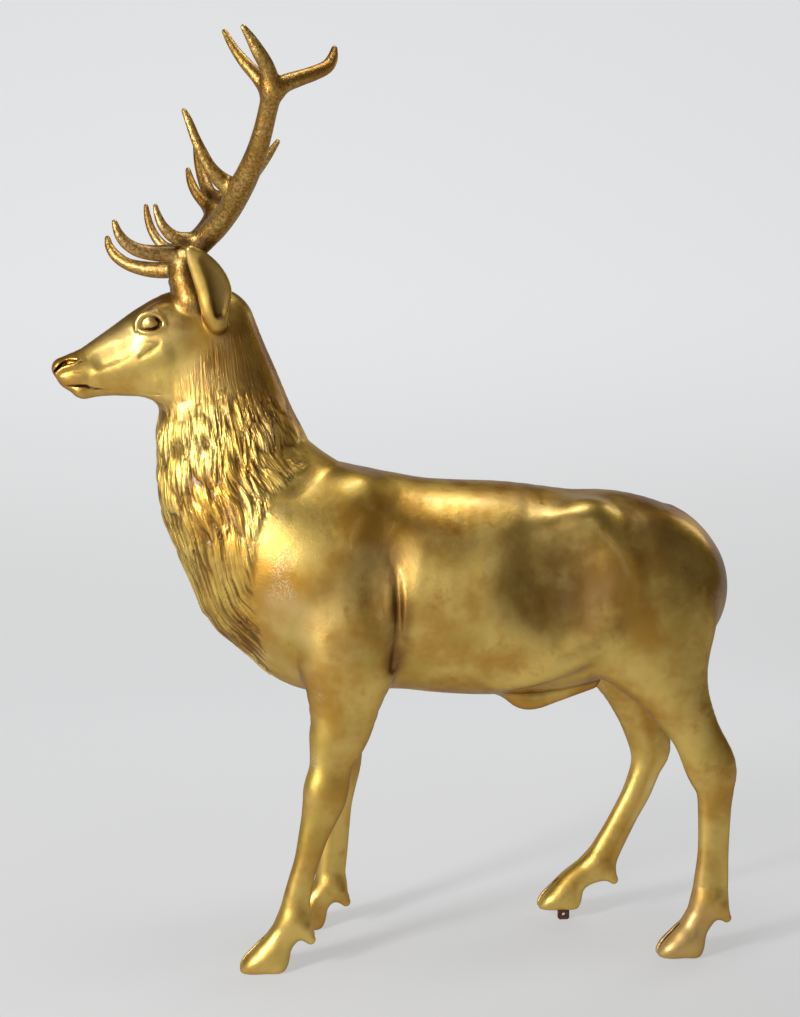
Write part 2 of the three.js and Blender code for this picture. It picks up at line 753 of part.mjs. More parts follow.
// Thins a closed mesh to a number of triangles by joining the ends of the edges that matter
// least, measured by the squared distance to the planes of the triangles they stand for.
function thin(mesh, wanted) {
  const count = mesh.positions.length / 3;
  const point = Float64Array.from(mesh.positions);
  const faces = [];
  const facesOf = Array.from({ length: count }, () => new Set());
  for (let t = 0; t < mesh.triangles.length; t += 3) {
    const face = [mesh.triangles[t], mesh.triangles[t + 1], mesh.triangles[t + 2]];
    face.forEach((v) => facesOf[v].add(faces.length));
    faces.push(face);
  }
  const at = (v) => [point[3 * v], point[3 * v + 1], point[3 * v + 2]];
  const plane = (a, b, c) => {
    const u = [b[0] - a[0], b[1] - a[1], b[2] - a[2]];
    const v = [c[0] - a[0], c[1] - a[1], c[2] - a[2]];
    const n = [u[1] * v[2] - u[2] * v[1], u[2] * v[0] - u[0] * v[2], u[0] * v[1] - u[1] * v[0]];
    const size = Math.hypot(...n);
    return { n: size > 1e-12 ? n.map((w) => w / size) : [0, 0, 0], area: size / 2 };
  };

  const quadric = new Float64Array(count * 10);
  for (const [a, b, c] of faces) {
    const { n, area } = plane(at(a), at(b), at(c));
    const d = -(n[0] * point[3 * a] + n[1] * point[3 * a + 1] + n[2] * point[3 * a + 2]);
    const row = [n[0] * n[0], n[0] * n[1], n[0] * n[2], n[0] * d, n[1] * n[1], n[1] * n[2], n[1] * d,
      n[2] * n[2], n[2] * d, d * d];
    for (const v of [a, b, c]) {
      for (let k = 0; k < 10; k += 1) quadric[v * 10 + k] += row[k] * area;
    }
  }
  const error = (q, [x, y, z]) => q[0] * x * x + 2 * q[1] * x * y + 2 * q[2] * x * z + 2 * q[3] * x
    + q[4] * y * y + 2 * q[5] * y * z + 2 * q[6] * y + q[7] * z * z + 2 * q[8] * z + q[9];

  // The best place for the joined vertex, and what it costs.
  const determinant = (a, b, c) => a[0] * (b[1] * c[2] - b[2] * c[1])
    - a[1] * (b[0] * c[2] - b[2] * c[0]) + a[2] * (b[0] * c[1] - b[1] * c[0]);
  const join = (a, b) => {
    const q = new Array(10);
    for (let k = 0; k < 10; k += 1) q[k] = quadric[a * 10 + k] + quadric[b * 10 + k];
    const pa = at(a);
    const pb = at(b);
    const middle = pa.map((v, k) => (v + pb[k]) / 2);
    const choices = [pa, pb, middle];
    const columns = [[q[0], q[1], q[2]], [q[1], q[4], q[5]], [q[2], q[5], q[7]]];
    const det = determinant(...columns);
    const scale = (q[0] + q[4] + q[7]) ** 3;
    if (Math.abs(det) > 1e-4 * scale) {
      const r = [-q[3], -q[6], -q[8]];
      const best = columns.map((_, k) => determinant(...columns.with(k, r)) / det);
      const span = Math.hypot(pa[0] - pb[0], pa[1] - pb[1], pa[2] - pb[2]);
      const shift = Math.hypot(...best.map((v, k) => v - middle[k]));
      if (shift < 2 * span) choices.push(best);
    }
    let result = null;
    for (const place of choices) {
      const cost = Math.max(error(q, place), 0);
      if (!result || cost < result.cost) result = { cost, place };
    }
    return result;
  };

  const stamp = new Uint32Array(count);
  const heap = new Heap();
  const queue = (a, b) => {
    const { cost, place } = join(a, b);
    const shortness = 1e-3 * ((point[3 * a] - point[3 * b]) ** 2 + (point[3 * a + 1] - point[3 * b + 1]) ** 2
      + (point[3 * a + 2] - point[3 * b + 2]) ** 2);
    heap.push([cost + shortness, a, b, stamp[a], stamp[b], place]);
  };
  const neighbours = (v) => {
    const result = new Set();
    for (const f of facesOf[v]) faces[f].forEach((w) => w !== v && result.add(w));
    return result;
  };
  for (const face of faces) {
    for (let k = 0; k < 3; k += 1) {
      const a = face[k];
      const b = face[(k + 1) % 3];
      if (a < b) queue(a, b);
    }
  }

  // Would moving a vertex to a place fold or squash one of the triangles that stay?
  const folds = (v, other, place) => {
    for (const f of facesOf[v]) {
      if (facesOf[other].has(f)) continue;
      const before = faces[f].map(at);
      const after = faces[f].map((w) => (w === v ? place : at(w)));
      const old = plane(...before);
      const now = plane(...after);
      const turn = old.n[0] * now.n[0] + old.n[1] * now.n[1] + old.n[2] * now.n[2];
      const edge = (p, next) => Math.hypot(...p.map((c, m) => c - next[m]));
      const longest = Math.max(...after.map((p, k) => edge(p, after[(k + 1) % 3])));
      if (turn < 0.25 || now.area < 0.02 * longest * longest) return true;
    }
    return false;
  };

  let left = faces.length;
  while (left > wanted && heap.items.length) {
    const [, a, b, stampA, stampB, place] = heap.pop();
    if (stamp[a] !== stampA || stamp[b] !== stampB || !facesOf[a].size || !facesOf[b].size) continue;
    const aroundA = neighbours(a);
    const aroundB = neighbours(b);
    let common = 0;
    for (const v of aroundA) if (aroundB.has(v)) common += 1;
    if (common !== 2 || folds(a, b, place) || folds(b, a, place)) continue;
    for (const f of facesOf[b]) {
      if (facesOf[a].has(f)) {
        faces[f].forEach((v) => v !== b && facesOf[v].delete(f));
        faces[f] = null;
        left -= 1;
      } else {
        faces[f] = faces[f].map((v) => (v === b ? a : v));
        facesOf[a].add(f);
      }
    }
    facesOf[b].clear();
    place.forEach((v, k) => { point[3 * a + k] = v; });
    for (let k = 0; k < 10; k += 1) quadric[a * 10 + k] += quadric[b * 10 + k];
    stamp[a] += 1;
    for (const v of neighbours(a)) queue(Math.min(a, v), Math.max(a, v));
  }

  const renumber = new Map();
  const positions = [];
  const triangles = [];
  for (const face of faces) {
    if (!face) continue;
    for (const v of face) {
      if (!renumber.has(v)) {
        renumber.set(v, positions.length / 3);
        positions.push(...at(v));
      }
      triangles.push(renumber.get(v));
    }
  }
  return { positions, triangles };
}

// Presses the lowest vertices flat onto the ground, so that the soles are true planes.
function seatSoles({ positions, triangles }) {
  const seated = positions.map((v, k) => (k % 3 === 2 && v < SOLE_SLACK ? 0 : v));
  return { positions: seated, triangles };
}

function toGeometry({ positions, triangles }) {
  const geometry = new THREE.BufferGeometry();
  geometry.setAttribute('position', new THREE.Float32BufferAttribute(positions, 3));
  geometry.setIndex(triangles);
  geometry.computeVertexNormals();
  return geometry;
}

// ---------------------------------------------------------------------------------------------
// Materials and parts
// ---------------------------------------------------------------------------------------------

const gildedBronze = new THREE.MeshStandardMaterial({ color: 0xb08a2e, roughness: 0.32, metalness: 1 });
const rustedSteel = new THREE.MeshStandardMaterial({ color: 0x3b2418, roughness: 0.8, metalness: 0.7 });

// The fixing lug: a small upright plate with a bolt hole, standing under the raised hoof.
function makeLug() {
  const outline = new THREE.Shape();
  const corner = 4;
  outline.moveTo(-LUG.width / 2, LUG.height);
  outline.lineTo(-LUG.width / 2, corner);
  outline.lineTo(-LUG.width / 2 + corner, 0);
  outline.lineTo(LUG.width / 2 - corner, 0);
  outline.lineTo(LUG.width / 2, corner);
  outline.lineTo(LUG.width / 2, LUG.height);
  const hole = new THREE.Path();
  hole.absarc(0, LUG.height / 2, LUG.hole, 0, 2 * Math.PI, true);
  outline.holes.push(hole);
  const settings = { depth: LUG.thickness, bevelEnabled: false, curveSegments: 10 };
  const geometry = new THREE.ExtrudeGeometry(outline, settings);
  geometry.rotateX(Math.PI / 2);
  geometry.translate(0, LUG.thickness / 2, 0);
  return geometry;
}

const low = stag.low.map((v) => v - MARGIN);
low[2] = -BLOCK * CELL;
const high = stag.high.map((v) => v + MARGIN);
const castingMesh = seatSoles(thin(drawSurface(surface, low, high), TRIANGLES));
const casting = new THREE.Mesh(toGeometry(castingMesh), gildedBronze);
casting.name = 'deer';

const lug = new THREE.Mesh(makeLug(), rustedSteel);
lug.name = 'fixing_lug_far_hind';
lug.position.set(LUG.x, LUG.y, 0);

const group = new THREE.Group();
group.add(casting, lug);

// The origin is at the middle of the whole outline, on the ground.
const box = new THREE.Box3().setFromObject(group);
const middle = box.getCenter(new THREE.Vector3());
group.position.set(-middle.x, -middle.y, -box.min.z);
group.updateMatrixWorld(true);

export default group;
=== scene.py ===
# A standing red deer stag in gilded bronze, dressed for the render.
#
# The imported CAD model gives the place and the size. The casting is sculpted again here as the same
# distance field, sampled finer and with its fine relief: locks of hair, lids, nostrils, lips and
# cloven hooves. Sculpting is done in millimetres, in the sculpture's own frame: the stag looks
# along -X, its left side faces -Y, and its soles stand on Z = 0. The finished mesh is then put into
# the box of the CAD node, in metres.

import math

import bpy
import numpy as np
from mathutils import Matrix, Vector


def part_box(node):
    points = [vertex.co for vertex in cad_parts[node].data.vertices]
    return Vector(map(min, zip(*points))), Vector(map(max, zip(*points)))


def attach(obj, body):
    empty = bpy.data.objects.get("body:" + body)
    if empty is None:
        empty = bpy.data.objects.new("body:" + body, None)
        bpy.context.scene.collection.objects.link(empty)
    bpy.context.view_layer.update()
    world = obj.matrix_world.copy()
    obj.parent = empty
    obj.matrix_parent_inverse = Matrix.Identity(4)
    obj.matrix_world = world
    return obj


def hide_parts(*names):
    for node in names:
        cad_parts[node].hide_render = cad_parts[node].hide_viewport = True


# -------------------------------------------------------------------------------------------------
# Driving values
# -------------------------------------------------------------------------------------------------

CELL = 3.2  # sampling cells of the sculpture, in millimetres
BLOCK = 8  # cells along one side of a sampling block
MARGIN = 24  # free space around the sculpture while it is sampled
FAR_OUT = 1.6  # blocks further from the surface than this many half diagonals get one value each
CURVE_STEPS = 4  # steps of a limb's curve from one station to the next
TRIANGLES = 196000  # what the finished casting is thinned to

NECK_PIVOT = (-432, 0, 1500)  # where the skull sits on the neck
HEAD_TURN = math.radians(8)  # the head looks a little to the stag's left

MANE_COLUMNS = 25  # locks between the throat line and the nape, on each side
LOCK_LENGTH = 96  # from the root of a lock to its tip
LOCK_RELIEF = 9  # how far a lock stands out
GAP_SHARES = (22, 52)  # percent of the mane that is the floor of a gap, and that is in a gap at all
RAISED_SOLE = 26.3  # the far hind hoof stands on the fixing lug

CREASE_ROOM = 6  # how far out a place is looked at, to find narrow creases
HOLLOW_ROOM = 45  # the same for wide hollows

# -------------------------------------------------------------------------------------------------
# Distance fields
# -------------------------------------------------------------------------------------------------


def smooth_step(low, high, value):
    t = np.clip((value - low) / (high - low), 0, 1)
    return t * t * (3 - 2 * t)


def soft_union(a, b, blend):
    overlap = np.maximum(blend - np.abs(a - b), 0) / blend
    return np.minimum(a, b) - overlap * overlap * (blend / 4)


def soft_cut(body, tool, blend):
    return -soft_union(-body, tool, blend)


def through_rows(rows, steps):
    """A smooth curve through rows of numbers, with a fixed number of steps between two rows."""
    last = len(rows) - 1
    result = []
    for i in range(last):
        before = rows[max(i - 1, 0)]
        start = rows[i]
        end = rows[i + 1]
        after = rows[min(i + 2, last)]
        for step in range(steps):
            t = step / steps
            result.append(0.5 * (
                2 * start
                + (end - before) * t
                + (2 * before - 5 * start + 4 * end - after) * t * t
                + (3 * start - before - 3 * end + after) * t * t * t
            ))
    result.append(rows[last])
    return np.array(result)


class Patch:
    """Points that lie close together, as a 3 x N array, with the box around them."""

    def __init__(self, place):
        self.place = place
        self.low = place.min(1).tolist()
        self.high = place.max(1).tolist()
        self.centre = (place.min(1) + place.max(1)) / 2
        self.reach = math.dist(self.low, self.high) / 2
        self.mirrored = None

    def gap(self, field):
        """How far the box is from the box around a field, at least."""
        total = 0.0
        for k in range(3):
            side = max(field.low[k] - self.high[k], self.low[k] - field.high[k], 0)
            total += side * side
        return math.sqrt(total)

    def folded(self):
        """The same points, all taken to the side where y is positive."""
        if self.mirrored is None:
            x, y, z = self.place
            self.mirrored = Patch(np.stack([x, np.abs(y), z]))
        return self.mirrored


class Limb:
    """A tapering limb through stations (x, y, z, deep, wide).

    Deep is its radius seen from the side of the stag, and wide its radius across the stag.
    A station without wide is round.
    """

    def __init__(self, stations):
        rows = np.array([list(s) + [s[3]] * (5 - len(s)) for s in stations], float)
        self.knots = through_rows(rows, CURVE_STEPS)
        self.start = self.knots[:-1]
        self.change = np.diff(self.knots, axis=0)
        self.square = (self.change[:, :3] ** 2).sum(1)
        reach = self.knots[:, 3:].max(1)[:, None]
        self.low = (self.knots[:, :3] - reach).min(0).tolist()
        self.high = (self.knots[:, :3] + reach).max(0).tolist()

    def to_spans(self, place, spans):
        """Distances from points to some of the spans, and where along each span is nearest."""
        x0, y0, z0, deep0, wide0 = self.start[spans].T[:, :, None]
        dx, dy, dz, deeper, wider = self.change[spans].T[:, :, None]
        x = place[0] - x0
        y = place[1] - y0
        z = place[2] - z0
        t = np.clip((x * dx + y * dy + z * dz) / self.square[spans][:, None], 0, 1)
        x -= t * dx
        y -= t * dy
        z -= t * dz
        deep = (deep0 + t * deeper) ** 2
        wide = (wide0 + t * wider) ** 2
        u = (x * x + z * z) / deep
        v = y * y / wide
        k0 = np.sqrt(u + v)
        k1 = np.sqrt(u / deep + v / wide)
        return k0 * (k0 - 1) / np.maximum(k1, 1e-9), t

    def distance(self, patch):
        """Distances to the nearest span, of those that can be nearest to a point of the patch."""
        every = np.arange(len(self.start))
        at_centre = self.to_spans(patch.centre[:, None], every)[0][:, 0]
        spans = every[at_centre <= at_centre.min() + 2.8 * patch.reach]
        return self.to_spans(patch.place, spans)[0].min(0)

    def flow(self, patch, blend=12.0):
        """Where along the limb (0 to 1) points are, without steps between neighbouring spans."""
        every = np.arange(len(self.start))
        distances, t = self.to_spans(patch.place, every)
        weights = np.exp((distances.min(0) - distances) / blend)
        return (weights * (every[:, None] + t)).sum(0) / weights.sum(0) / len(every)


class Mass:
    """A rounded mass with three radii, leaned in the side view by a number of degrees."""

    def __init__(self, centre, radii, lean=0):
        self.centre = centre
        self.radii = radii
        self.cos = math.cos(math.radians(lean))
        self.sin = math.sin(math.radians(lean))
        self.low = [c - max(radii) for c in centre]
        self.high = [c + max(radii) for c in centre]

    def distance(self, patch):
        long, wide, tall = self.radii
        x = patch.place[0] - self.centre[0]
        y = patch.place[1] - self.centre[1]
        z = patch.place[2] - self.centre[2]
        u = (x * self.cos + z * self.sin) / long
        v = y / wide
        w = (z * self.cos - x * self.sin) / tall
        k0 = np.sqrt(u * u + v * v + w * w)
        k1 = np.sqrt((u / long) ** 2 + (v / wide) ** 2 + (w / tall) ** 2)
        return k0 * (k0 - 1) / np.maximum(k1, 1e-9)


class Sculpt:
    """Fields joined one after another, each with its own blend, or carved out of what is there."""

    def __init__(self):
        self.steps = []
        self.low = [math.inf] * 3
        self.high = [-math.inf] * 3

    def add(self, blend, *fields):
        for field in fields:
            self.steps.append((field, blend, False))
            self.low = [min(pair) for pair in zip(self.low, field.low)]
            self.high = [max(pair) for pair in zip(self.high, field.high)]

    def carve(self, blend, *fields):
        for field in fields:
            self.steps.append((field, blend, True))

    def distance(self, patch):
        result = np.full(patch.place.shape[1], 1e6)
        for field, blend, cut in self.steps:
            bound = -result.min() if cut else result.max()
            if patch.gap(field) > bound + blend:
                continue
            distance = field.distance(patch)
            if cut:
                result = soft_cut(result, distance, blend)
            else:
                result = soft_union(result, distance, blend)
        return result


class Paired:
    """The same field on both sides of the plane y = 0."""

    def __init__(self, field):
        self.field = field
        self.low = [field.low[0], -field.high[1], field.low[2]]
        self.high = field.high

    def distance(self, patch):
        return self.field.distance(patch.folded())


class Placed:
    """A field in a frame of its own: a pivot, and three axes as the rows of a matrix."""

    def __init__(self, field, pivot, axes):
        self.field = field
        self.pivot = np.array(pivot, float)
        self.axes = np.array(axes, float)
        reach = math.hypot(*[max(abs(a), abs(b)) for a, b in zip(field.low, field.high)])
        self.low = (self.pivot - reach).tolist()
        self.high = (self.pivot + reach).tolist()

    def distance(self, patch):
        return self.field.distance(Patch(self.axes @ (patch.place - self.pivot[:, None])))


# -------------------------------------------------------------------------------------------------
# Trunk and legs
# -------------------------------------------------------------------------------------------------

neck = Limb([
    [-450, -4, 1532, 97, 68],
    [-437, -2, 1452, 114, 78],
    [-431, 0, 1379, 138, 92],
    [-421, 0, 1274, 169, 112],
    [-404, 0, 1208, 184, 126],
    [-388, 0, 1143, 200, 138],
    [-345, 0, 1080, 214, 150],
    [-308, 0, 1020, 220, 160],
    [-150, 0, 930, 244, 172],
])
barrel = Limb([
    [-150, 0, 924, 260, 182],
    [0, 0, 912, 261, 198],
    [126, 0, 901, 265, 216],
    [245, 0, 896, 265, 222],
    [403, 0, 893, 249, 210],
    [510, 0, 922, 217, 190],
    [592, 0, 912, 206, 172],
    [630, 0, 894, 198, 154],
])
brisket = Limb([[-374, 0, 890, 112, 96], [-334, 0, 806, 70, 84], [-262, 0, 748, 72, 84],
    [-180, 0, 722, 70, 80]])
tail = Limb([[680, 0, 1076, 22, 24], [724, 0, 1050, 22, 28], [762, 0, 1006, 22, 27],
    [788, 0, 950, 18, 20], [800, 0, 905, 12, 12]])
sheath = Limb([[255, 0, 650, 18, 20], [298, 0, 620, 26, 24], [335, 0, 613, 26, 24],
    [390, 0, 626, 22, 22], [480, 0, 655, 20, 24]])
shoulder_blade = Mass([-150, 98, 1026], [92, 84, 150], -18)
shoulder_point = Mass([-226, 92, 960], [98, 88, 150], 20)
upper_arm = Mass([-140, 132, 806], [120, 82, 172], 4)
haunch = Mass([602, 94, 915], [160, 92, 160], 10)
hip_bone = Mass([410, 130, 1064], [72, 44, 34], 22)
elbow_fold = Limb([[-56, 196, 1000, 6, 12], [-36, 198, 960, 8, 16], [-28, 204, 900, 10, 20],
    [-26, 204, 840, 11, 22], [-26, 194, 782, 11, 22], [-32, 172, 724, 10, 18]])
shoulder_valley = Mass([-56, 238, 985], [48, 50, 120], -12)
flank_hollow = Mass([366, 330, 935], [150, 136, 170], 12)
stifle_ridge = Limb([[430, 132, 1040, 40], [466, 143, 985, 46], [482, 146, 930, 52],
    [468, 146, 850, 58]])
flank_fold = Limb([[230, 104, 684, 22], [285, 132, 700, 30], [345, 150, 730, 40], [410, 156, 772, 50],
    [470, 154, 806, 56]])
near_foreleg = Limb([
    [-140, -118, 720, 104, 66],
    [-152, -120, 601, 77, 56],
    [-162, -121, 561, 70, 50],
    [-174, -122, 517, 57, 43],
    [-182, -123, 478, 51, 40],
    [-192, -124, 433, 54, 42],
    [-197, -124, 406, 51, 39],
    [-210, -124, 361, 42, 32],
    [-222, -124, 323, 36, 29],
    [-238, -124, 264, 30, 26],
    [-252, -124, 216, 30, 26],
    [-263, -124, 168, 33, 28],
    [-270, -124, 120, 38, 33],
])
far_foreleg = Limb([
    [-120, 128, 720, 104, 66],
    [-130, 136, 601, 75, 56],
    [-134, 141, 517, 56, 43],
    [-140, 145, 433, 54, 42],
    [-145, 147, 380, 47, 37],
    [-150, 149, 323, 40, 30],
    [-154, 150, 252, 37, 27],
    [-160, 150, 196, 38, 27],
    [-165, 150, 147, 38, 29],
    [-166, 150, 112, 37, 33],
])
near_thigh = Mass([600, -112, 812], [156, 86, 172], 24)
near_hind_leg = Limb([
    [560, -118, 800, 130, 70],
    [636, -128, 690, 97, 64],
    [671, -134, 620, 75, 54],
    [711, -138, 545, 60, 44],
    [747, -141, 466, 63, 38],
    [758, -142, 415, 48, 33],
    [758, -142, 359, 41, 29],
    [756, -142, 257, 38, 27],
    [752, -142, 190, 42, 29],
    [748, -142, 134, 45, 34],
])
far_thigh = Mass([606, 112, 800], [154, 86, 180], 16)
far_hind_leg = Limb([
    [540, 118, 790, 130, 70],
    [608, 128, 655, 84, 64],
    [646, 138, 568, 66, 52],
    [668, 144, 505, 58, 44],
    [684, 148, 447, 54, 38],
    [673, 150, 396, 41, 33],
    [648, 150, 329, 37, 29],
    [620, 150, 276, 35, 27],
    [592, 150, 223, 36, 27],
    [566, 150, 176, 39, 30],
    [546, 150, 138, 43, 34],
])

# -------------------------------------------------------------------------------------------------
# Head, in its own frame: the origin is the neck pivot, and the muzzle points along -x
# -------------------------------------------------------------------------------------------------


def make_head():
    head = Sculpt()
    skull = Mass([-74, 0, 24], [106, 74, 97], 12)
    face = Limb([
        [-115, 0, -12, 119, 74],
        [-150, 0, -22, 109, 68],
        [-209, 0, -43, 90, 56],
        [-273, 0, -63, 68, 43],
        [-334, 0, -82, 47, 36],
    ])
    nose = Limb([[-340, 0, -70, 38, 32], [-374, 0, -70, 26, 29]])
    upper_lip = Limb([[-330, 0, -92, 24, 30], [-362, 0, -92, 23, 27]])
    chin = Limb([[-280, 0, -98, 28, 24], [-326, 0, -118, 23, 24]])
    jaw = Limb([
        [-60, 34, -78, 72, 34], [-120, 30, -90, 62, 34], [-200, 22, -91, 39, 24], [-280, 10, -98, 26, 18],
    ])
    brow_ridge = Mass([-168, 52, 52], [46, 22, 22], 34)
    cheek_bone = Limb([[-110, 60, 10, 20, 14], [-170, 54, -8, 20, 16], [-230, 40, -30, 18, 12]])
    face_crest = Limb([[-292, 30, -84, 12, 9], [-223, 42, -64, 14, 11], [-146, 62, -36, 16, 12]])
    face_hollow = Limb([[-290, 46, -50, 16, 8], [-236, 60, -24, 18, 10], [-214, 70, -4, 12, 8]])
    eye_socket = Mass([-174, 74, 35], [29, 17, 22], 10)
    eyeball = Mass([-174, 50, 36], [22, 23, 21])
    upper_lid = Limb([
        [-207, 58, 18, 5], [-205, 61, 38, 6], [-192, 66, 53, 7], [-172, 70, 58, 7],
        [-154, 71, 50, 6], [-142, 70, 33, 5],
    ])
    lower_lid = Limb([
        [-205, 59, 16, 4], [-190, 66, 13, 5], [-172, 70, 12, 5], [-155, 71, 18, 5], [-143, 70, 32, 4],
    ])
    lid_groove = Limb([
        [-217, 56, 34, 4], [-208, 64, 56, 4], [-190, 70, 69, 4], [-168, 74, 71, 4], [-148, 74, 62, 3],
    ])
    tear_groove = Limb([[-206, 64, 12, 4], [-216, 63, -7, 5], [-230, 61, -28, 4], [-243, 56, -49, 3]])
    lower_wrinkle = Limb([[-198, 70, -8, 3], [-178, 75, -4, 4], [-156, 78, -9, 3]])
    cheek_wrinkle = Limb([[-200, 66, -44, 3], [-178, 72, -31, 4], [-158, 77, -16, 3]])
    nostril = Limb([
        [-392, 14, -80, 3, 9], [-377, 21, -66, 5, 13], [-361, 28, -57, 6, 14], [-347, 33, -57, 5, 12],
    ])
    nostril_rim = Limb([[-389, 20, -84, 4], [-372, 29, -70, 5], [-350, 36, -64, 5], [-338, 37, -54, 4]])
    muzzle_groove = Limb([[-380, 29, -86, 4], [-356, 38, -78, 5], [-326, 42, -76, 4]])
    mouth = Limb([
        [-386, 12, -107, 2, 8], [-362, 24, -112, 2, 8], [-326, 30, -111, 2, 8], [-310, 32, -116, 2, 8],
        [-253, 36, -122, 2, 8], [-180, 46, -129, 2, 8], [-140, 56, -132, 1, 5],
    ])
    lips = Limb([[-290, 0, -104, 22, 28], [-352, 0, -106, 15, 23]])
    chin_knob = Mass([-334, 12, -124], [17, 15, 12])

    head.add(30, skull, face)
    head.add(14, nose)
    head.add(12, upper_lip)
    head.add(16, chin, Paired(jaw))
    head.add(20, Paired(brow_ridge), Paired(cheek_bone))
    head.add(18, Paired(face_crest))
    head.add(6, lips)
    head.carve(14, Paired(face_hollow))
    head.carve(7, Paired(eye_socket))
    head.add(2, Paired(eyeball))
    head.add(5, Paired(upper_lid), Paired(lower_lid))
    head.carve(5, Paired(lid_groove), Paired(tear_groove))
    head.carve(6, Paired(lower_wrinkle), Paired(cheek_wrinkle))
    head.carve(5, Paired(nostril))
    head.add(4, Paired(nostril_rim))
    head.carve(4, Paired(muzzle_groove), Paired(mouth))
    head.add(8, Paired(chin_knob))
    return head


# -------------------------------------------------------------------------------------------------
# Antlers: a beam with its tines, each a limb of round stations (x, y, z, radius)
# -------------------------------------------------------------------------------------------------

NEAR_ANTLER = {
    "burr": [-522, -50, 1646],
    "beam": [[-502, -58, 1592, 40], [-516, -52, 1638, 33], [-520, -52, 1683, 26], [-501, -62, 1705, 28],
        [-474, -85, 1728, 27], [-443, -125, 1753, 27], [-412, -180, 1783, 26], [-392, -230, 1813, 28],
        [-371, -285, 1842, 26], [-352, -340, 1877, 23], [-339, -385, 1910, 21], [-329, -420, 1944, 20],
        [-318, -462, 1986, 21]],
    "tines": [
        [[-515, -52, 1697, 22], [-564, -65, 1699, 20], [-598, -78, 1699, 18], [-627, -90, 1704, 16],
            [-651, -100, 1718, 14], [-666, -108, 1738, 11], [-674, -112, 1762, 7]],
        [[-482, -78, 1730, 20], [-521, -90, 1729, 17], [-545, -100, 1736, 15], [-565, -108, 1756, 12],
            [-576, -112, 1780, 9], [-581, -114, 1800, 6]],
        [[-398, -220, 1822, 24], [-431, -235, 1842, 19], [-453, -250, 1865, 15], [-470, -262, 1895, 13],
            [-484, -270, 1925, 11], [-497, -275, 1959, 9], [-507, -277, 1980, 6]],
        [[-321, -455, 1976, 19], [-348, -450, 2012, 15], [-372, -440, 2040, 13], [-393, -430, 2069, 10],
            [-407, -420, 2094, 8], [-416, -415, 2112, 6]],
        [[-317, -466, 1984, 20], [-330, -490, 2022, 16], [-348, -510, 2048, 14], [-364, -520, 2072, 10],
            [-377, -530, 2088, 6]],
        [[-314, -463, 1984, 20], [-290, -455, 2000, 18], [-260, -440, 2015, 16], [-230, -425, 2030, 15],
            [-204, -410, 2047, 14], [-191, -400, 2067, 12], [-186, -395, 2090, 7]],
    ],
}
FAR_ANTLER = {
    "burr": [-530, 24, 1648],
    "beam": [[-514, 30, 1592, 38], [-528, 30, 1638, 31], [-532, 36, 1692, 25], [-511, 66, 1733, 26],
        [-483, 110, 1769, 25], [-462, 170, 1814, 23], [-456, 240, 1856, 23], [-450, 310, 1889, 23]],
    "tines": [
        [[-532, 50, 1680, 22], [-584, 60, 1676, 20], [-625, 70, 1681, 18], [-662, 80, 1692, 15],
            [-689, 88, 1711, 14], [-706, 93, 1734, 11], [-711, 95, 1756, 7]],
        [[-518, 68, 1728, 17], [-560, 80, 1729, 15], [-585, 88, 1747, 13], [-604, 95, 1777, 11],
            [-614, 100, 1809, 9], [-618, 102, 1837, 6]],
        [[-456, 216, 1845, 20], [-481, 235, 1872, 15], [-502, 250, 1900, 13], [-515, 260, 1930, 11],
            [-522, 265, 1959, 7]],
        [[-450, 305, 1886, 23], [-471, 330, 1915, 19], [-487, 350, 1958, 16], [-498, 360, 2002, 13],
            [-505, 365, 2038, 8]],
        [[-450, 308, 1888, 22], [-430, 350, 1908, 20], [-390, 390, 1941, 18], [-346, 410, 1989, 15],
            [-314, 410, 2032, 12], [-288, 405, 2068, 7]],
    ],
}


def add_foot(sculpt, fetlock, toe_x, sole):
    """A cloven foot: pastern, two claws with their heels, and two dewclaws behind the fetlock."""
    x, y, z = fetlock
    pastern = Limb([
        [x, y, z, 38, 34],
        [(x + toe_x + 98) / 2, y, (z + sole + 74) / 2, 36, 33],
        [toe_x + 92, y, sole + 66, 34, 34],
        [toe_x + 78, y, sole + 50, 34, 34],
    ])
    hoof = Limb([
        [toe_x + 84, y, sole + 38, 36, 38],
        [toe_x + 58, y, sole + 28, 36, 42],
        [toe_x + 34, y, sole + 18, 27, 38],
        [toe_x + 16, y, sole + 10, 15, 28],
    ])
    heel = Mass([toe_x + 88, y, sole + 16], [26, 36, 28])
    cleft = Limb([
        [toe_x - 4, y, sole + 6, 20, 5],
        [toe_x + 24, y, sole + 40, 17, 4],
        [toe_x + 52, y, sole + 68, 12, 3],
    ])
    sculpt.add(18, pastern, hoof, heel)
    sculpt.carve(5, cleft)
    for side in (-1, 1):
        dewclaw = Limb([
            [x + 22, y + side * 15, z - 18, 20],
            [x + 37, y + side * 18, z - 38, 12],
        ])
        sculpt.add(14, dewclaw)


def turned(field, pivot, angle):
    """A field turned about the vertical through a pivot."""
    cos, sin = math.cos(angle), math.sin(angle)
    return Placed(field, pivot, [[cos, sin, 0], [-sin, cos, 0], [0, 0, 1]])


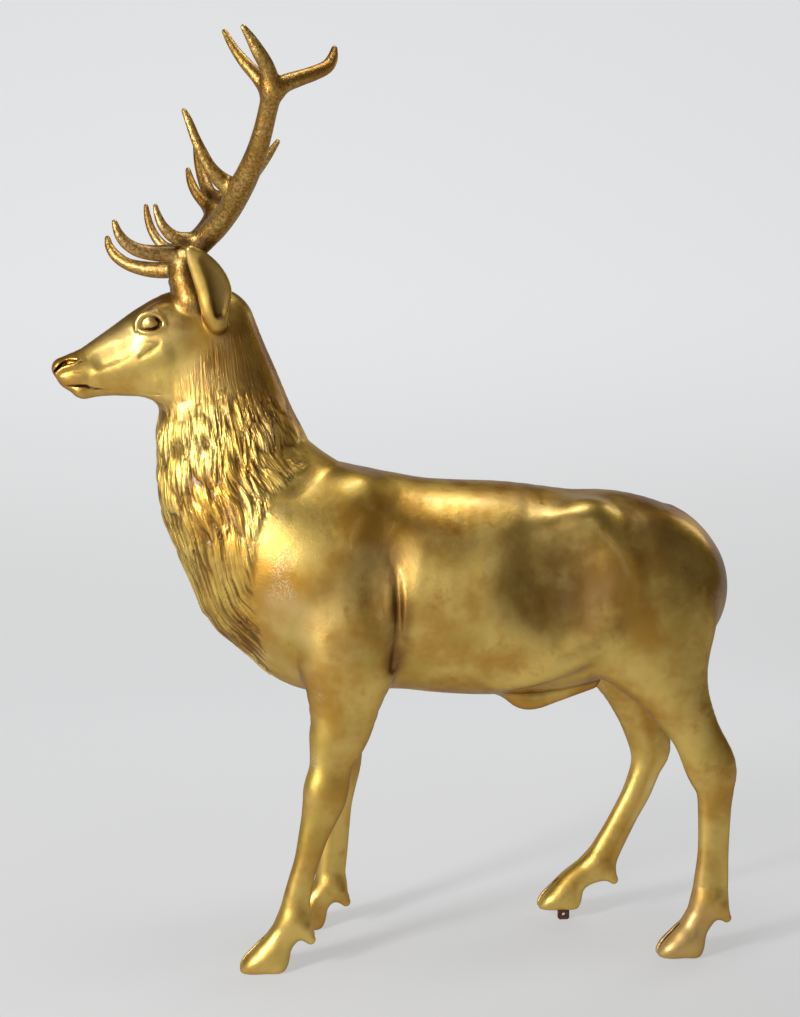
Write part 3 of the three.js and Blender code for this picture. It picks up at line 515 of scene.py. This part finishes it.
def make_ear(root, tip, facing, side):
    """A leaf with a hollow, in a frame whose z runs from root to tip and whose y looks out."""
    root, tip, facing = Vector(root), Vector(tip), Vector(facing)
    size = (tip - root).length
    up = (tip - root).normalized()
    out = (facing - up * facing.dot(up)).normalized()
    across = out.cross(up) * side
    leaf = Limb([
        [2, 0, 4, 24, 22],
        [-4, 2, size * 0.2, 33, 24],
        [-18, 0, size * 0.4, 41, 20],
        [-18, -2, size * 0.6, 37, 17],
        [-10, -4, size * 0.8, 26, 13],
        [-2, -4, size * 0.93, 14, 10],
        [0, 0, size - 6, 8, 7],
    ])
    hollow = Limb([
        [-10, 27, size * 0.16, 14, 20],
        [-24, 27, size * 0.26, 26, 22],
        [-38, 26, size * 0.4, 36, 21],
        [-37, 21, size * 0.62, 31, 16],
        [-26, 14, size * 0.8, 18, 9],
    ])
    ear = Sculpt()
    ear.add(8, leaf)
    ear.carve(5, hollow)
    axes = [across, out, up]
    return Placed(ear, root, axes), Placed(hollow, root, axes)


NEAR_EAR, NEAR_EAR_HOLLOW = make_ear((-438, -86, 1532), (-505, -150, 1704), (0.1, -1, 0), 1)
FAR_EAR, FAR_EAR_HOLLOW = make_ear((-461, 81, 1532), (-544, 124, 1704), (-0.2, 1, 0), -1)


def add_antler(sculpt, antler):
    """The beam, its tines, and the burr around its foot."""
    sculpt.add(14, Limb(antler["beam"]))
    for tine in antler["tines"]:
        sculpt.add(12, Limb(tine))
    sculpt.add(8, Mass(antler["burr"], [31, 31, 11], 10))


# -------------------------------------------------------------------------------------------------
# Mane: rows of pointed locks that run down the neck to the chest
# -------------------------------------------------------------------------------------------------

NECK_LENGTH = 640  # along the middle of the neck, from the skull to the chest
MANE_FOOT = (560, 620)  # it fades out between these heights, under the brisket

# Where the mane ends at the rear, as (height, x), and where the mane and the short fur end at the
# top, as (x, height)
MANE_REAR = [(640, -280), (727, -323), (891, -358), (1043, -346), (1135, -299), (1204, -221)]
MANE_TOP = [(-600, 1338), (-472, 1362), (-425, 1388), (-250, 1392)]
FUR_TOP = [(-560, 1380), (-470, 1500), (-420, 1570), (-300, 1570)]

# The locks are only worked out above, below and in front of these places
LOCKS_ABOVE, LOCKS_BELOW, LOCKS_BEFORE = 600, 1400, -200


def scatter(column, row):
    """A repeatable number from 0 to 1 for a lock's column and row."""
    mixed = np.sin(column * 127.1 + row * 311.7) * 43758.5453
    return mixed - np.floor(mixed)


def neck_flow(patch):
    """Where points are around the neck (0 at the throat, 1 at the nape) and down it, in mm."""
    x, y, z = patch.place
    along = neck.flow(patch)
    steps = np.linspace(0, 1, len(neck.knots))
    centre = np.interp(along, steps, neck.knots[:, 0])
    around = np.arctan2(np.abs(y), (centre - x) * 0.8) / math.pi
    return around, along * NECK_LENGTH


def mane_cover(patch):
    """How much of the mane is on a place: 1 in it, 0 outside it."""
    x, y, z = patch.place
    rear = np.interp(z, *zip(*MANE_REAR))
    top = np.interp(x, *zip(*MANE_TOP))
    nape = smooth_step(-330, -270, x) * smooth_step(1190, 1250, z)
    inside = smooth_step(0, 24, rear - x) * smooth_step(-20, 70, top - z) * smooth_step(*MANE_FOOT, z)
    return inside * (1 - 0.8 * nape)


def fur_cover(patch):
    """How much short hair shows on a place: behind the jaw and up the neck to the ears."""
    x, y, z = patch.place
    top = np.interp(x, *zip(*FUR_TOP))
    rear = np.interp(z, *zip(*MANE_REAR))
    return smooth_step(0, 60, top - z) * smooth_step(0, 60, rear - x) * smooth_step(1180, 1260, z)


def row_of_locks(column, run, side, row):
    """Heights (0 to 1) of one layer of pointed locks, each its own place along its column."""
    which = np.floor(column)
    slide = scatter(which, row) + 0.25 * side * scatter(which, row + 2)
    t = run / LOCK_LENGTH + slide
    t -= np.floor(t)
    width = 0.50 * (0.30 + 0.70 * np.sin(math.pi * np.minimum(0.12 + 0.95 * t, 1)))
    across = (column - which - 0.5) / width
    return np.maximum(1 - across * across, 0) * (0.55 + 0.45 * np.sin(math.pi * t))


def mane_relief(patch):
    """How far the locks stand out of the neck, in millimetres, or lie under it where negative."""
    cover = mane_cover(patch)
    if not cover.any():
        return 0
    around, run = neck_flow(patch)
    side = np.sign(patch.place[1])
    column = around * MANE_COLUMNS
    column += 0.45 * np.sin(run / 46 + 1.7 * column) + 0.8 * np.sin(run / 150 + 0.31 * column)
    front = row_of_locks(column, run, side, 1)
    back = row_of_locks(column + 0.5, run, side, 5)
    locks = np.maximum(front, 0.72 * back)
    tuft = 0.105 * np.sin(around * 43 + run / 70) * np.sin(run / 52 + around * 21)
    return cover * LOCK_RELIEF * (locks - 0.55 + tuft)


def shaded_sides(patch):
    """Where painted shade is darkest: nape, behind the elbow, in front of the haunch and on the rump."""
    x, y, z = patch.place
    fold = smooth_step(34, 2, Paired(elbow_fold).distance(patch))
    hollow = smooth_step(96, 0, Paired(flank_hollow).distance(patch))
    valley = smooth_step(34, 0, Paired(shoulder_valley).distance(patch))
    rump = smooth_step(480, 620, x) * smooth_step(800, 920, z)
    around = neck_flow(patch)[0]
    nape = smooth_step(0.58, 0.88, around) * smooth_step(-210, -290, x) * smooth_step(1100, 1200, z)
    return np.max([fold, 0.9 * hollow, 0.7 * valley, 0.7 * rump, 0.8 * nape], axis=0)


def inside_ears(patch):
    """1 on the hollow sides of the ears, 0 elsewhere."""
    nearest = np.minimum(NEAR_EAR_HOLLOW.distance(patch), FAR_EAR_HOLLOW.distance(patch))
    return smooth_step(7, 0, nearest)


# -------------------------------------------------------------------------------------------------
# The whole stag
# -------------------------------------------------------------------------------------------------

# The fetlock, the x of the toe's tip and the height of the sole of each foot
FEET = [
    ((-268, -124, 114), -401, 0),
    ((-164, 150, 106), -298, 0),
    ((748, -142, 132), 614, 0),
    ((546, 150, 138), 380, RAISED_SOLE),
]


def make_stag():
    stag = Sculpt()
    stag.add(90, neck, barrel)
    stag.add(50, brisket)
    stag.add(60, Paired(shoulder_blade), Paired(shoulder_point), Paired(haunch))
    stag.add(20, Paired(upper_arm))
    stag.add(70, Paired(hip_bone), Paired(stifle_ridge))
    stag.add(30, Paired(flank_fold))
    stag.add(40, near_foreleg, far_foreleg, near_thigh, near_hind_leg, far_thigh, far_hind_leg)
    stag.carve(90, Paired(flank_hollow))
    stag.carve(60, Paired(shoulder_valley))
    stag.carve(12, Paired(elbow_fold))
    stag.add(14, tail)
    stag.add(26, sheath)
    stag.add(34, turned(make_head(), NECK_PIVOT, HEAD_TURN))
    stag.add(14, NEAR_EAR, FAR_EAR)
    for fetlock, toe_x, sole in FEET:
        add_foot(stag, fetlock, toe_x, sole)
    add_antler(stag, NEAR_ANTLER)
    add_antler(stag, FAR_ANTLER)
    return stag


def make_antlers():
    """The antlers alone, which tell the patina where they are."""
    antlers = Sculpt()
    add_antler(antlers, NEAR_ANTLER)
    add_antler(antlers, FAR_ANTLER)
    return antlers


stag = make_stag()


def surface(patch):
    """The stag with its mane, cut off flat under the soles."""
    x, y, z = patch.place
    distance = stag.distance(patch)
    if patch.high[2] > LOCKS_ABOVE and patch.low[2] < LOCKS_BELOW and patch.low[0] < LOCKS_BEFORE:
        distance = distance - mane_relief(patch)
    fetlock, toe_x, raised = FEET[-1]
    under_far_hind = (x > toe_x - 80) & (x < toe_x + 140) & (y > fetlock[1] - 70)
    sole = np.where(under_far_hind, raised, 0)
    return np.maximum(distance, sole - z)


# -------------------------------------------------------------------------------------------------
# From field to mesh
# -------------------------------------------------------------------------------------------------

CORNERS = np.array([[c & 1, c >> 1 & 1, c >> 2 & 1] for c in range(8)])
EDGES = [(c, c | bit) for c in range(8) for bit in (1, 2, 4) if not c & bit]


def find_sheets():
    """Which sheet of surface each crossed edge of a cell is on, for every way its corners can be."""
    faces = [
        [e for e, (a, b) in enumerate(EDGES) if a & bit == side and b & bit == side]
        for bit in (1, 2, 4) for side in (0, bit)
    ]
    table = np.full((256, len(EDGES)), -1)
    for case in range(256):
        crossed = [case >> a & 1 != case >> b & 1 for a, b in EDGES]
        parent = list(range(len(EDGES)))

        def root(e):
            while parent[e] != e:
                e = parent[e]
            return e

        for face in faces:
            cut = [e for e in face if crossed[e]]
            if len(cut) == 2:
                parent[root(cut[0])] = root(cut[1])
            for e in cut if len(cut) == 4 else []:
                for f in cut:
                    shared = set(EDGES[e]) & set(EDGES[f])
                    if e < f and shared and case >> shared.pop() & 1:
                        parent[root(e)] = root(f)
        names = {}
        for e in range(len(EDGES)):
            if crossed[e]:
                table[case, e] = names.setdefault(root(e), len(names))
    return table


def evaluate(field, points, size=56.0):
    """Values of a field at many points, worked out in patches of points that lie together."""
    cells = np.floor((points - points.min(0)) / size).astype(np.int64)
    keys = np.ravel_multi_index(tuple(cells.T), tuple(cells.max(0) + 1))
    order = np.argsort(keys, kind="stable")
    breaks = np.flatnonzero(np.diff(keys[order])) + 1
    result = np.empty(len(points))
    for chosen in np.split(order, breaks):
        result[chosen] = field(Patch(points[chosen].T))
    return result


def sample(field, low, high):
    """The field on a regular grid. Blocks of cells far from the surface get one value each."""
    blocks = np.ceil((high - low) / (CELL * BLOCK)).astype(int)
    size = CELL * BLOCK
    places = np.stack(np.meshgrid(*[np.arange(n) for n in blocks], indexing="ij"), -1).reshape(-1, 3)
    middles = evaluate(stag.distance, low + (places + 0.5) * size, size * 8)
    values = np.repeat(middles.astype(np.float32).reshape(blocks), BLOCK, 0)
    values = np.repeat(np.repeat(values, BLOCK, 1), BLOCK, 2)
    safe = size * math.sqrt(3) / 2 * FAR_OUT + LOCK_RELIEF
    steps = np.arange(BLOCK) * CELL
    lattice = np.stack(np.meshgrid(steps, steps, steps, indexing="ij")).reshape(3, -1)
    for bi, bj, bk in places[np.abs(middles) < safe]:
        corner = low + np.array([bi, bj, bk]) * size
        block = field(Patch(lattice + corner[:, None])).reshape(BLOCK, BLOCK, BLOCK)
        i, j, k = bi * BLOCK, bj * BLOCK, bk * BLOCK
        values[i:i + BLOCK, j:j + BLOCK, k:k + BLOCK] = block
    return values


def draw_surface(values, low):
    """A closed surface of squares where the grid's values are zero.

    A cell has one vertex for each sheet that passes through it, and there is one square for each
    cell edge that the surface crosses.
    """
    shape = np.array(values.shape)
    inside = (values < 0).astype(np.uint8)
    case = np.zeros(shape - 1, np.uint8)
    for c, (a, b, d) in enumerate(CORNERS):
        case |= inside[a:shape[0] - 1 + a, b:shape[1] - 1 + b, d:shape[2] - 1 + d] << c
    cells = np.flatnonzero((case != 0) & (case != 255))
    case = case.reshape(-1)[cells]
    place = np.stack(np.unravel_index(cells, shape - 1), 1)

    corner_values = np.stack([values[tuple((place + c).T)] for c in CORNERS], 1)
    table = find_sheets()
    sheets = table[case]
    crossings = []
    for a, b in EDGES:
        step = corner_values[:, a] - corner_values[:, b]
        t = corner_values[:, a] / np.where(step == 0, 1, step)
        crossings.append(CORNERS[a] + t[:, None] * (CORNERS[b] - CORNERS[a]))
    crossings = np.stack(crossings, 1)
    count = sheets.max(1) + 1
    first = np.cumsum(count) - count
    vertices = np.empty((count.sum(), 3))
    for sheet in range(count.max()):
        here = np.flatnonzero(count > sheet)
        on = (sheets[here] == sheet)[:, :, None]
        mean = (crossings[here] * on).sum(1) / on.sum(1)
        vertices[first[here] + sheet] = low + (place[here] + mean) * CELL

    strides = np.array([(shape[1] - 1) * (shape[2] - 1), shape[2] - 1, 1])
    squares = []
    for axis in range(3):
        bit = 1 << axis
        p, q = (axis + 1) % 3, (axis + 2) % 3
        here = np.flatnonzero(sheets[:, EDGES.index((0, bit))] >= 0)
        ring = []
        for a, b in ((0, 0), (1, 0), (1, 1), (0, 1)):
            corner = a * (1 << p) + b * (1 << q)
            cell = np.searchsorted(cells, cells[here] - a * strides[p] - b * strides[q])
            ring.append(first[cell] + sheets[cell, EDGES.index((corner, corner | bit))])
        ring = np.stack(ring, 1)
        outward = (case[here] & 1).astype(bool)
        ring[~outward] = ring[~outward, ::-1]
        squares.append(ring)
    return vertices, np.concatenate(squares)


def make_mesh(name, vertices, faces):
    """A mesh from an array of vertices and an array of faces that all have as many corners."""
    corners = faces.shape[1]
    mesh = bpy.data.meshes.new(name)
    mesh.vertices.add(len(vertices))
    mesh.vertices.foreach_set("co", vertices.astype(np.float32).ravel())
    mesh.loops.add(faces.size)
    mesh.loops.foreach_set("vertex_index", faces.astype(np.int32).ravel())
    mesh.polygons.add(len(faces))
    mesh.polygons.foreach_set("loop_start", np.arange(0, faces.size, corners, dtype=np.int32))
    mesh.update(calc_edges=True)
    mesh.validate()
    return mesh


def read_vectors(items, name):
    """A vector that each of many items has, as an N x 3 array."""
    flat = np.empty(len(items) * 3, np.float32)
    items.foreach_get(name, flat)
    return flat.reshape(-1, 3)


def thinned(mesh, wanted):
    """The mesh with its triangles thinned out to a number, most where it is smooth."""
    piece = bpy.data.objects.new("thinning", mesh)
    bpy.context.scene.collection.objects.link(piece)
    decimate = piece.modifiers.new("thin", "DECIMATE")
    decimate.ratio = min(1, wanted / (2 * len(mesh.polygons)))
    bpy.context.view_layer.update()
    evaluated = piece.evaluated_get(bpy.context.evaluated_depsgraph_get())
    result = bpy.data.meshes.new_from_object(evaluated)
    bpy.data.objects.remove(piece)
    return result


def set_attribute(mesh, name, values):
    attribute = mesh.attributes.new(name, "FLOAT", "POINT")
    attribute.data.foreach_set("value", values.astype(np.float32))


def closeness(points, normals, radius):
    """How much of the room within a radius of the surface is taken up: 0 on an open surface."""
    room = evaluate(surface, points + normals * radius)
    return np.clip(1 - room / radius, 0, 1)


def mark_surface(mesh, vertices):
    """Attributes that tell the patina and the painted shade what each place on the casting is."""
    normals = read_vectors(mesh.vertex_normals, "vector")
    set_attribute(mesh, "crease", closeness(vertices, normals, CREASE_ROOM))
    set_attribute(mesh, "hollow", closeness(vertices, normals, HOLLOW_ROOM))
    set_attribute(mesh, "around", evaluate(lambda patch: neck_flow(patch)[0], vertices))
    set_attribute(mesh, "run", evaluate(lambda patch: neck_flow(patch)[1], vertices) / NECK_LENGTH)
    set_attribute(mesh, "antler", smooth_step(6, 1, evaluate(make_antlers().distance, vertices)))
    set_attribute(mesh, "fur", evaluate(fur_cover, vertices))
    set_attribute(mesh, "ear", evaluate(inside_ears, vertices))
    set_attribute(mesh, "shade", evaluate(shaded_sides, vertices))

    mane = evaluate(mane_cover, vertices)
    relief = evaluate(mane_relief, vertices)
    gap_floor, gap_edge = np.percentile(relief[mane > 0.6], GAP_SHARES)
    set_attribute(mesh, "mane", mane)
    set_attribute(mesh, "gap", smooth_step(gap_edge, gap_floor, relief))


def sculpt_deer(box):
    """The casting, put into its CAD box, and the function that takes sculpture points there."""
    low = np.array(stag.low) - MARGIN
    low[2] = -BLOCK * CELL
    high = np.array(stag.high) + MARGIN
    vertices, squares = draw_surface(sample(surface, low, high), low)
    mesh = thinned(make_mesh("casting", vertices, squares), TRIANGLES)
    vertices = read_vectors(mesh.vertices, "co").astype(float)
    mark_surface(mesh, vertices)

    from_low, from_high = vertices.min(0), vertices.max(0)
    scale = (np.array(box[1]) - np.array(box[0])) / (from_high - from_low)

    def to_frame(points):
        return (np.asarray(points, float) - from_low) * scale + np.array(box[0])

    mesh.vertices.foreach_set("co", to_frame(vertices).astype(np.float32).ravel())
    mesh.polygons.foreach_set("use_smooth", np.ones(len(mesh.polygons), bool))
    mesh.update()
    piece = bpy.data.objects.new("gilded_stag", mesh)
    bpy.context.scene.collection.objects.link(piece)
    return piece, to_frame


# -------------------------------------------------------------------------------------------------
# Materials
# -------------------------------------------------------------------------------------------------


class Nodes:
    """Short ways to add and wire the nodes of one material."""

    def __init__(self, name):
        self.material = bpy.data.materials.new(name)
        self.material.use_nodes = True
        self.tree = self.material.node_tree
        self.shader = self.tree.nodes["Principled BSDF"]
        self.place = self.add("ShaderNodeNewGeometry").outputs["Position"]

    def add(self, kind, **settings):
        node = self.tree.nodes.new(kind)
        for name, value in settings.items():
            setattr(node, name, value)
        return node

    def wire(self, source, socket):
        if isinstance(source, bpy.types.NodeSocket):
            self.tree.links.new(source, socket)
        else:
            socket.default_value = source

    def attribute(self, name):
        return self.add("ShaderNodeAttribute", attribute_name=name).outputs["Fac"]

    def noise(self, scale, detail, roughness, distortion=0.0, place=None):
        node = self.add("ShaderNodeTexNoise")
        self.wire(place or self.place, node.inputs["Vector"])
        node.inputs["Scale"].default_value = scale
        node.inputs["Detail"].default_value = detail
        node.inputs["Roughness"].default_value = roughness
        node.inputs["Distortion"].default_value = distortion
        return node.outputs["Fac"]

    def ramp(self, value, low, high, start=0.0, end=1.0):
        node = self.add("ShaderNodeMapRange", interpolation_type="SMOOTHSTEP")
        self.wire(value, node.inputs["Value"])
        node.inputs["From Min"].default_value = low
        node.inputs["From Max"].default_value = high
        node.inputs["To Min"].default_value = start
        node.inputs["To Max"].default_value = end
        return node.outputs["Result"]

    def math(self, operation, a, b):
        node = self.add("ShaderNodeMath", operation=operation)
        self.wire(a, node.inputs[0])
        self.wire(b, node.inputs[1])
        return node.outputs[0]

    def mix(self, share, a, b):
        node = self.add("ShaderNodeMix", data_type="RGBA")
        self.wire(share, node.inputs["Factor"])
        self.wire(a, node.inputs[6])
        self.wire(b, node.inputs[7])
        return node.outputs[2]

    def join(self, x, y):
        node = self.add("ShaderNodeCombineXYZ")
        self.wire(x, node.inputs["X"])
        self.wire(y, node.inputs["Y"])
        return node.outputs["Vector"]

    def bump(self, height, distance, strength, normal=None):
        node = self.add("ShaderNodeBump")
        self.wire(height, node.inputs["Height"])
        node.inputs["Distance"].default_value = distance
        node.inputs["Strength"].default_value = strength
        if normal is not None:
            self.wire(normal, node.inputs["Normal"])
        return node.outputs["Normal"]


def gilded_bronze():
    """Gold patina over bronze, bright where rubbed, amber and brown where not, with painted shade."""
    n = Nodes("gold_patina")
    crease = n.attribute("crease")
    hollow = n.attribute("hollow")
    mane = n.attribute("mane")
    fur = n.attribute("fur")
    antler = n.attribute("antler")
    around_hair = n.math("MULTIPLY", n.attribute("around"), 60)
    along_hair = n.math("MULTIPLY", n.attribute("run"), 7)
    hair = n.noise(1.0, 3, 0.6, 0.5, n.join(around_hair, along_hair))
    hair_cover = n.math("MAXIMUM", mane, n.math("MULTIPLY", fur, 0.3))

    gold = (0.86, 0.62, 0.17, 1)
    olive_gold = (0.66, 0.49, 0.10, 1)
    amber = (0.60, 0.33, 0.050, 1)
    pale_gold = (0.92, 0.74, 0.38, 1)
    painted_shade_amber = (0.22, 0.105, 0.022, 1)
    orange_brown = (0.50, 0.19, 0.022, 1)
    brown = (0.085, 0.033, 0.007, 1)
    worn_silver = (0.88, 0.84, 0.76, 1)
    antler_brown = (0.30, 0.155, 0.040, 1)

    # Clouds of other tones on the gold: the noise's scale, detail and roughness, the noise at which
    # a cloud begins and is full, and how strong it is when full
    clouds = [
        (amber, 4.5, 4, 0.6, 0.40, 0.62, 1),
        (olive_gold, 7.0, 3, 0.6, 0.52, 0.70, 0.7),
        (pale_gold, 2.4, 3, 0.55, 0.52, 0.72, 0.5),
        (orange_brown, 11, 5, 0.7, 0.56, 0.74, 0.55),
    ]
    colour = gold
    for tone, scale, detail, roughness, begins, full, strength in clouds:
        share = n.ramp(n.noise(scale, detail, roughness), begins, full, 0, strength)
        colour = n.mix(share, colour, tone)

    # Short fur and antlers are browner, and the antlers are rubbed bright in small places
    short_fur = n.math("MULTIPLY", n.math("MULTIPLY", fur, 0.6), n.math("SUBTRACT", 1, mane))
    colour = n.mix(short_fur, colour, antler_brown)
    rubbed = n.ramp(n.noise(150, 3, 0.7), 0.42, 0.60, 0.85, 0.25)
    colour = n.mix(n.math("MULTIPLY", antler, rubbed), colour, antler_brown)

    # Brown in creases and hollows, between hairs and locks and inside the ears: patina that settles
    # there and painted shade, over the dark amber painted as shade on the shaded sides
    gaps = n.math("MULTIPLY", hair_cover, n.ramp(hair, 0.50, 0.34, 0, 0.75))
    deep = n.ramp(crease, 0.10, 0.60)
    deep = n.math("MAXIMUM", deep, n.ramp(hollow, 0.42, 0.85, 0, 0.75))
    deep = n.math("MAXIMUM", deep, gaps)
    deep = n.math("MAXIMUM", deep, n.math("MULTIPLY", n.attribute("gap"), 0.78))
    deep = n.math("MAXIMUM", deep, n.math("MULTIPLY", n.attribute("ear"), 0.7))
    # Painted shade: dark amber on the nape, behind the elbow, in the shoulder and flank hollows and on
    # the rump
    shade = n.math("MULTIPLY", n.attribute("shade"), n.ramp(n.noise(9, 4, 0.6), 0.3, 0.6, 0.35, 0.85))
    colour = n.mix(shade, colour, painted_shade_amber)
    # Patina and painted shade: brown in the creases, hollows, gaps between hairs and locks, and ears
    colour = n.mix(deep, colour, brown)

    # Grey flecks in a few patches, where the gold has worn off the smooth parts
    specks = n.ramp(n.noise(240, 2, 0.6), 0.50, 0.58)
    worn = n.math("MULTIPLY", n.ramp(n.noise(3.1, 3, 0.6), 0.62, 0.70, 0, 0.28), specks)
    worn = n.math("MULTIPLY", worn, n.math("SUBTRACT", 1, n.math("MAXIMUM", fur, antler)))
    colour = n.mix(worn, colour, worn_silver)
    n.wire(colour, n.shader.inputs["Base Color"])
    n.shader.inputs["Metallic"].default_value = 1.0

    rough = n.ramp(n.noise(14, 4, 0.6), 0.3, 0.7, 0.32, 0.44)
    rough = n.math("ADD", rough, n.math("MULTIPLY", deep, 0.25))
    n.wire(rough, n.shader.inputs["Roughness"])

    # Relief that is finer than the mesh: hammering, grain, hairs, and pearls on the antlers
    hammered = n.noise(60, 4, 0.6)
    fine = n.noise(260, 3, 0.65)
    pearls = n.math("MULTIPLY", antler, n.noise(120, 3, 0.75))
    normal = n.bump(hammered, 0.0010, 0.5)
    normal = n.bump(fine, 0.0006, 0.6, normal)
    normal = n.bump(n.math("MULTIPLY", hair, hair_cover), 0.007, 0.9, normal)
    n.wire(n.bump(pearls, 0.0022, 0.9, normal), n.shader.inputs["Normal"])
    n.shader.inputs["Specular Tint"].default_value = (0.16, 0.10, 0.045, 1)
    n.shader.inputs["Coat Weight"].default_value = 0.35
    n.shader.inputs["Coat Roughness"].default_value = 0.22
    n.shader.inputs["Coat Tint"].default_value = (0.98, 0.92, 0.78, 1)
    return n.material


def rusted_steel():
    """The bare steel of the fixing lug: dark, with brown rust in patches."""
    n = Nodes("rusted_steel")
    patches = n.ramp(n.noise(160, 5, 0.65), 0.4, 0.62)
    colour = n.mix(patches, (0.035, 0.02, 0.015, 1), (0.16, 0.055, 0.02, 1))
    n.wire(colour, n.shader.inputs["Base Color"])
    n.shader.inputs["Metallic"].default_value = 0.35
    n.wire(n.ramp(patches, 0, 1, 0.55, 0.85), n.shader.inputs["Roughness"])
    n.wire(n.bump(n.noise(500, 4, 0.7), 0.0006, 0.8), n.shader.inputs["Normal"])
    return n.material


def pale_studio():
    """The matt white of the sweep, which also glows a little as painted light, as a lit studio wall does.
    """
    n = Nodes("pale_studio")
    n.shader.inputs["Base Color"].default_value = (0.30, 0.30, 0.305, 1)
    n.shader.inputs["Roughness"].default_value = 0.8
    n.shader.inputs["Specular IOR Level"].default_value = 0.15
    n.shader.inputs["Emission Color"].default_value = (0.97, 0.985, 1.0, 1)
    apart = n.add("ShaderNodeSeparateXYZ")
    n.wire(n.place, apart.inputs["Vector"])
    # Painted light: the floor glows more towards the backdrop, and the wall more with height
    floor_glow = n.ramp(apart.outputs["Y"], -2.5, 3.0, 0.336, 0.545)
    wall_glow = n.ramp(apart.outputs["Z"], 0.0, 2.0, 0.0, 0.10)
    n.wire(n.math("ADD", floor_glow, wall_glow), n.shader.inputs["Emission Strength"])
    return n.material


# -------------------------------------------------------------------------------------------------
# Stage: floor, backdrop, lights and camera
# -------------------------------------------------------------------------------------------------


def make_sweep():
    """The studio floor, which curves up behind the sculpture into a backdrop."""
    front, depth, radius, height, half = -8.0, 3.2, 2.2, 5.0, 9.0
    bends = 16
    profile = [(front, 0.0), (depth, 0.0)]
    for step in range(1, bends + 1):
        angle = math.pi / 2 * step / bends
        profile.append((depth + radius * math.sin(angle), radius * (1 - math.cos(angle))))
    profile.append((depth + radius, height))
    vertices = np.array([(x, y, z) for y, z in profile for x in (-half, half)])
    first = 2 * np.arange(len(profile) - 1)[:, None]
    mesh = make_mesh("studio_sweep", vertices, first + np.array([0, 1, 3, 2]))
    mesh.polygons.foreach_set("use_smooth", np.ones(len(mesh.polygons), bool))
    piece = bpy.data.objects.new("studio_sweep", mesh)
    bpy.context.scene.collection.objects.link(piece)
    piece.data.materials.append(pale_studio())


def add_light(name, place, target, size, power):
    """A white soft box at a place, turned towards a target."""
    light = bpy.data.lights.new(name, "AREA")
    light.shape = "RECTANGLE"
    light.size, light.size_y = size
    light.energy = power
    holder = bpy.data.objects.new(name, light)
    bpy.context.scene.collection.objects.link(holder)
    holder.location = place
    aim = Vector(target) - Vector(place)
    holder.rotation_euler = aim.to_track_quat("-Z", "Y").to_euler()


def light_studio():
    """Five soft boxes, the brightest by the head, over a weak warm light from all round."""
    bpy.context.scene.view_settings.view_transform = "Standard"
    world = bpy.data.worlds.new("studio")
    bpy.context.scene.world = world
    world.use_nodes = True
    background = world.node_tree.nodes["Background"]
    background.inputs["Color"].default_value = (0.95, 0.80, 0.62, 1)
    background.inputs["Strength"].default_value = 0.12
    target = (0, 0, 1.0)  # the middle of the stag
    add_light("key", (-2.8, -2.1, 1.9), target, (0.6, 1.5), 120)
    add_light("fill", (-1.2, -4.6, 1.6), target, (1.6, 1.6), 12)
    add_light("overhead", (0.2, -0.2, 4.3), target, (1.6, 0.4), 34)
    add_light("front_strip", (1.5, -4.4, 2.2), target, (0.4, 2.0), 9)
    add_light("rear_rim", (3.0, 1.6, 2.6), target, (1.0, 1.6), 16)


def add_camera(to_frame):
    """A camera at eye height on the stag's left side, turned a little towards its head."""
    around = math.radians(6.5)
    drop = math.radians(2.8902)  # how far the camera looks down
    distance, height = 3300, 1260
    data = bpy.data.cameras.new("camera")
    data.sensor_width = 36
    data.lens = 47.3274
    data.clip_end = 60
    camera = bpy.data.objects.new("camera", data)
    bpy.context.scene.collection.objects.link(camera)
    camera.location = to_frame((-math.sin(around) * distance, -math.cos(around) * distance, height))
    aim = Vector((
        math.sin(around) * math.cos(drop),
        math.cos(around) * math.cos(drop),
        -math.sin(drop),
    ))
    camera.rotation_euler = aim.to_track_quat("-Z", "Y").to_euler()
    bpy.context.scene.camera = camera


# -------------------------------------------------------------------------------------------------
# The scene
# -------------------------------------------------------------------------------------------------

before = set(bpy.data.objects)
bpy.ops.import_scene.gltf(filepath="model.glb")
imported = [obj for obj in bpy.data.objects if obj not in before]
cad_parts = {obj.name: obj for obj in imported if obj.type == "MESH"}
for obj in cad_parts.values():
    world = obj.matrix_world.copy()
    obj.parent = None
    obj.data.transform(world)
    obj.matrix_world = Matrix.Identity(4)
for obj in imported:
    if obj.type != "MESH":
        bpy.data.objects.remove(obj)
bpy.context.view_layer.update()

deer, to_frame = sculpt_deer(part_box("deer"))
deer.data.materials.append(gilded_bronze())
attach(deer, "root")
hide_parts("deer")

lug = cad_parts["fixing_lug_far_hind"]
lug.data.materials.clear()
lug.data.materials.append(rusted_steel())

make_sweep()
light_studio()
add_camera(to_frame)
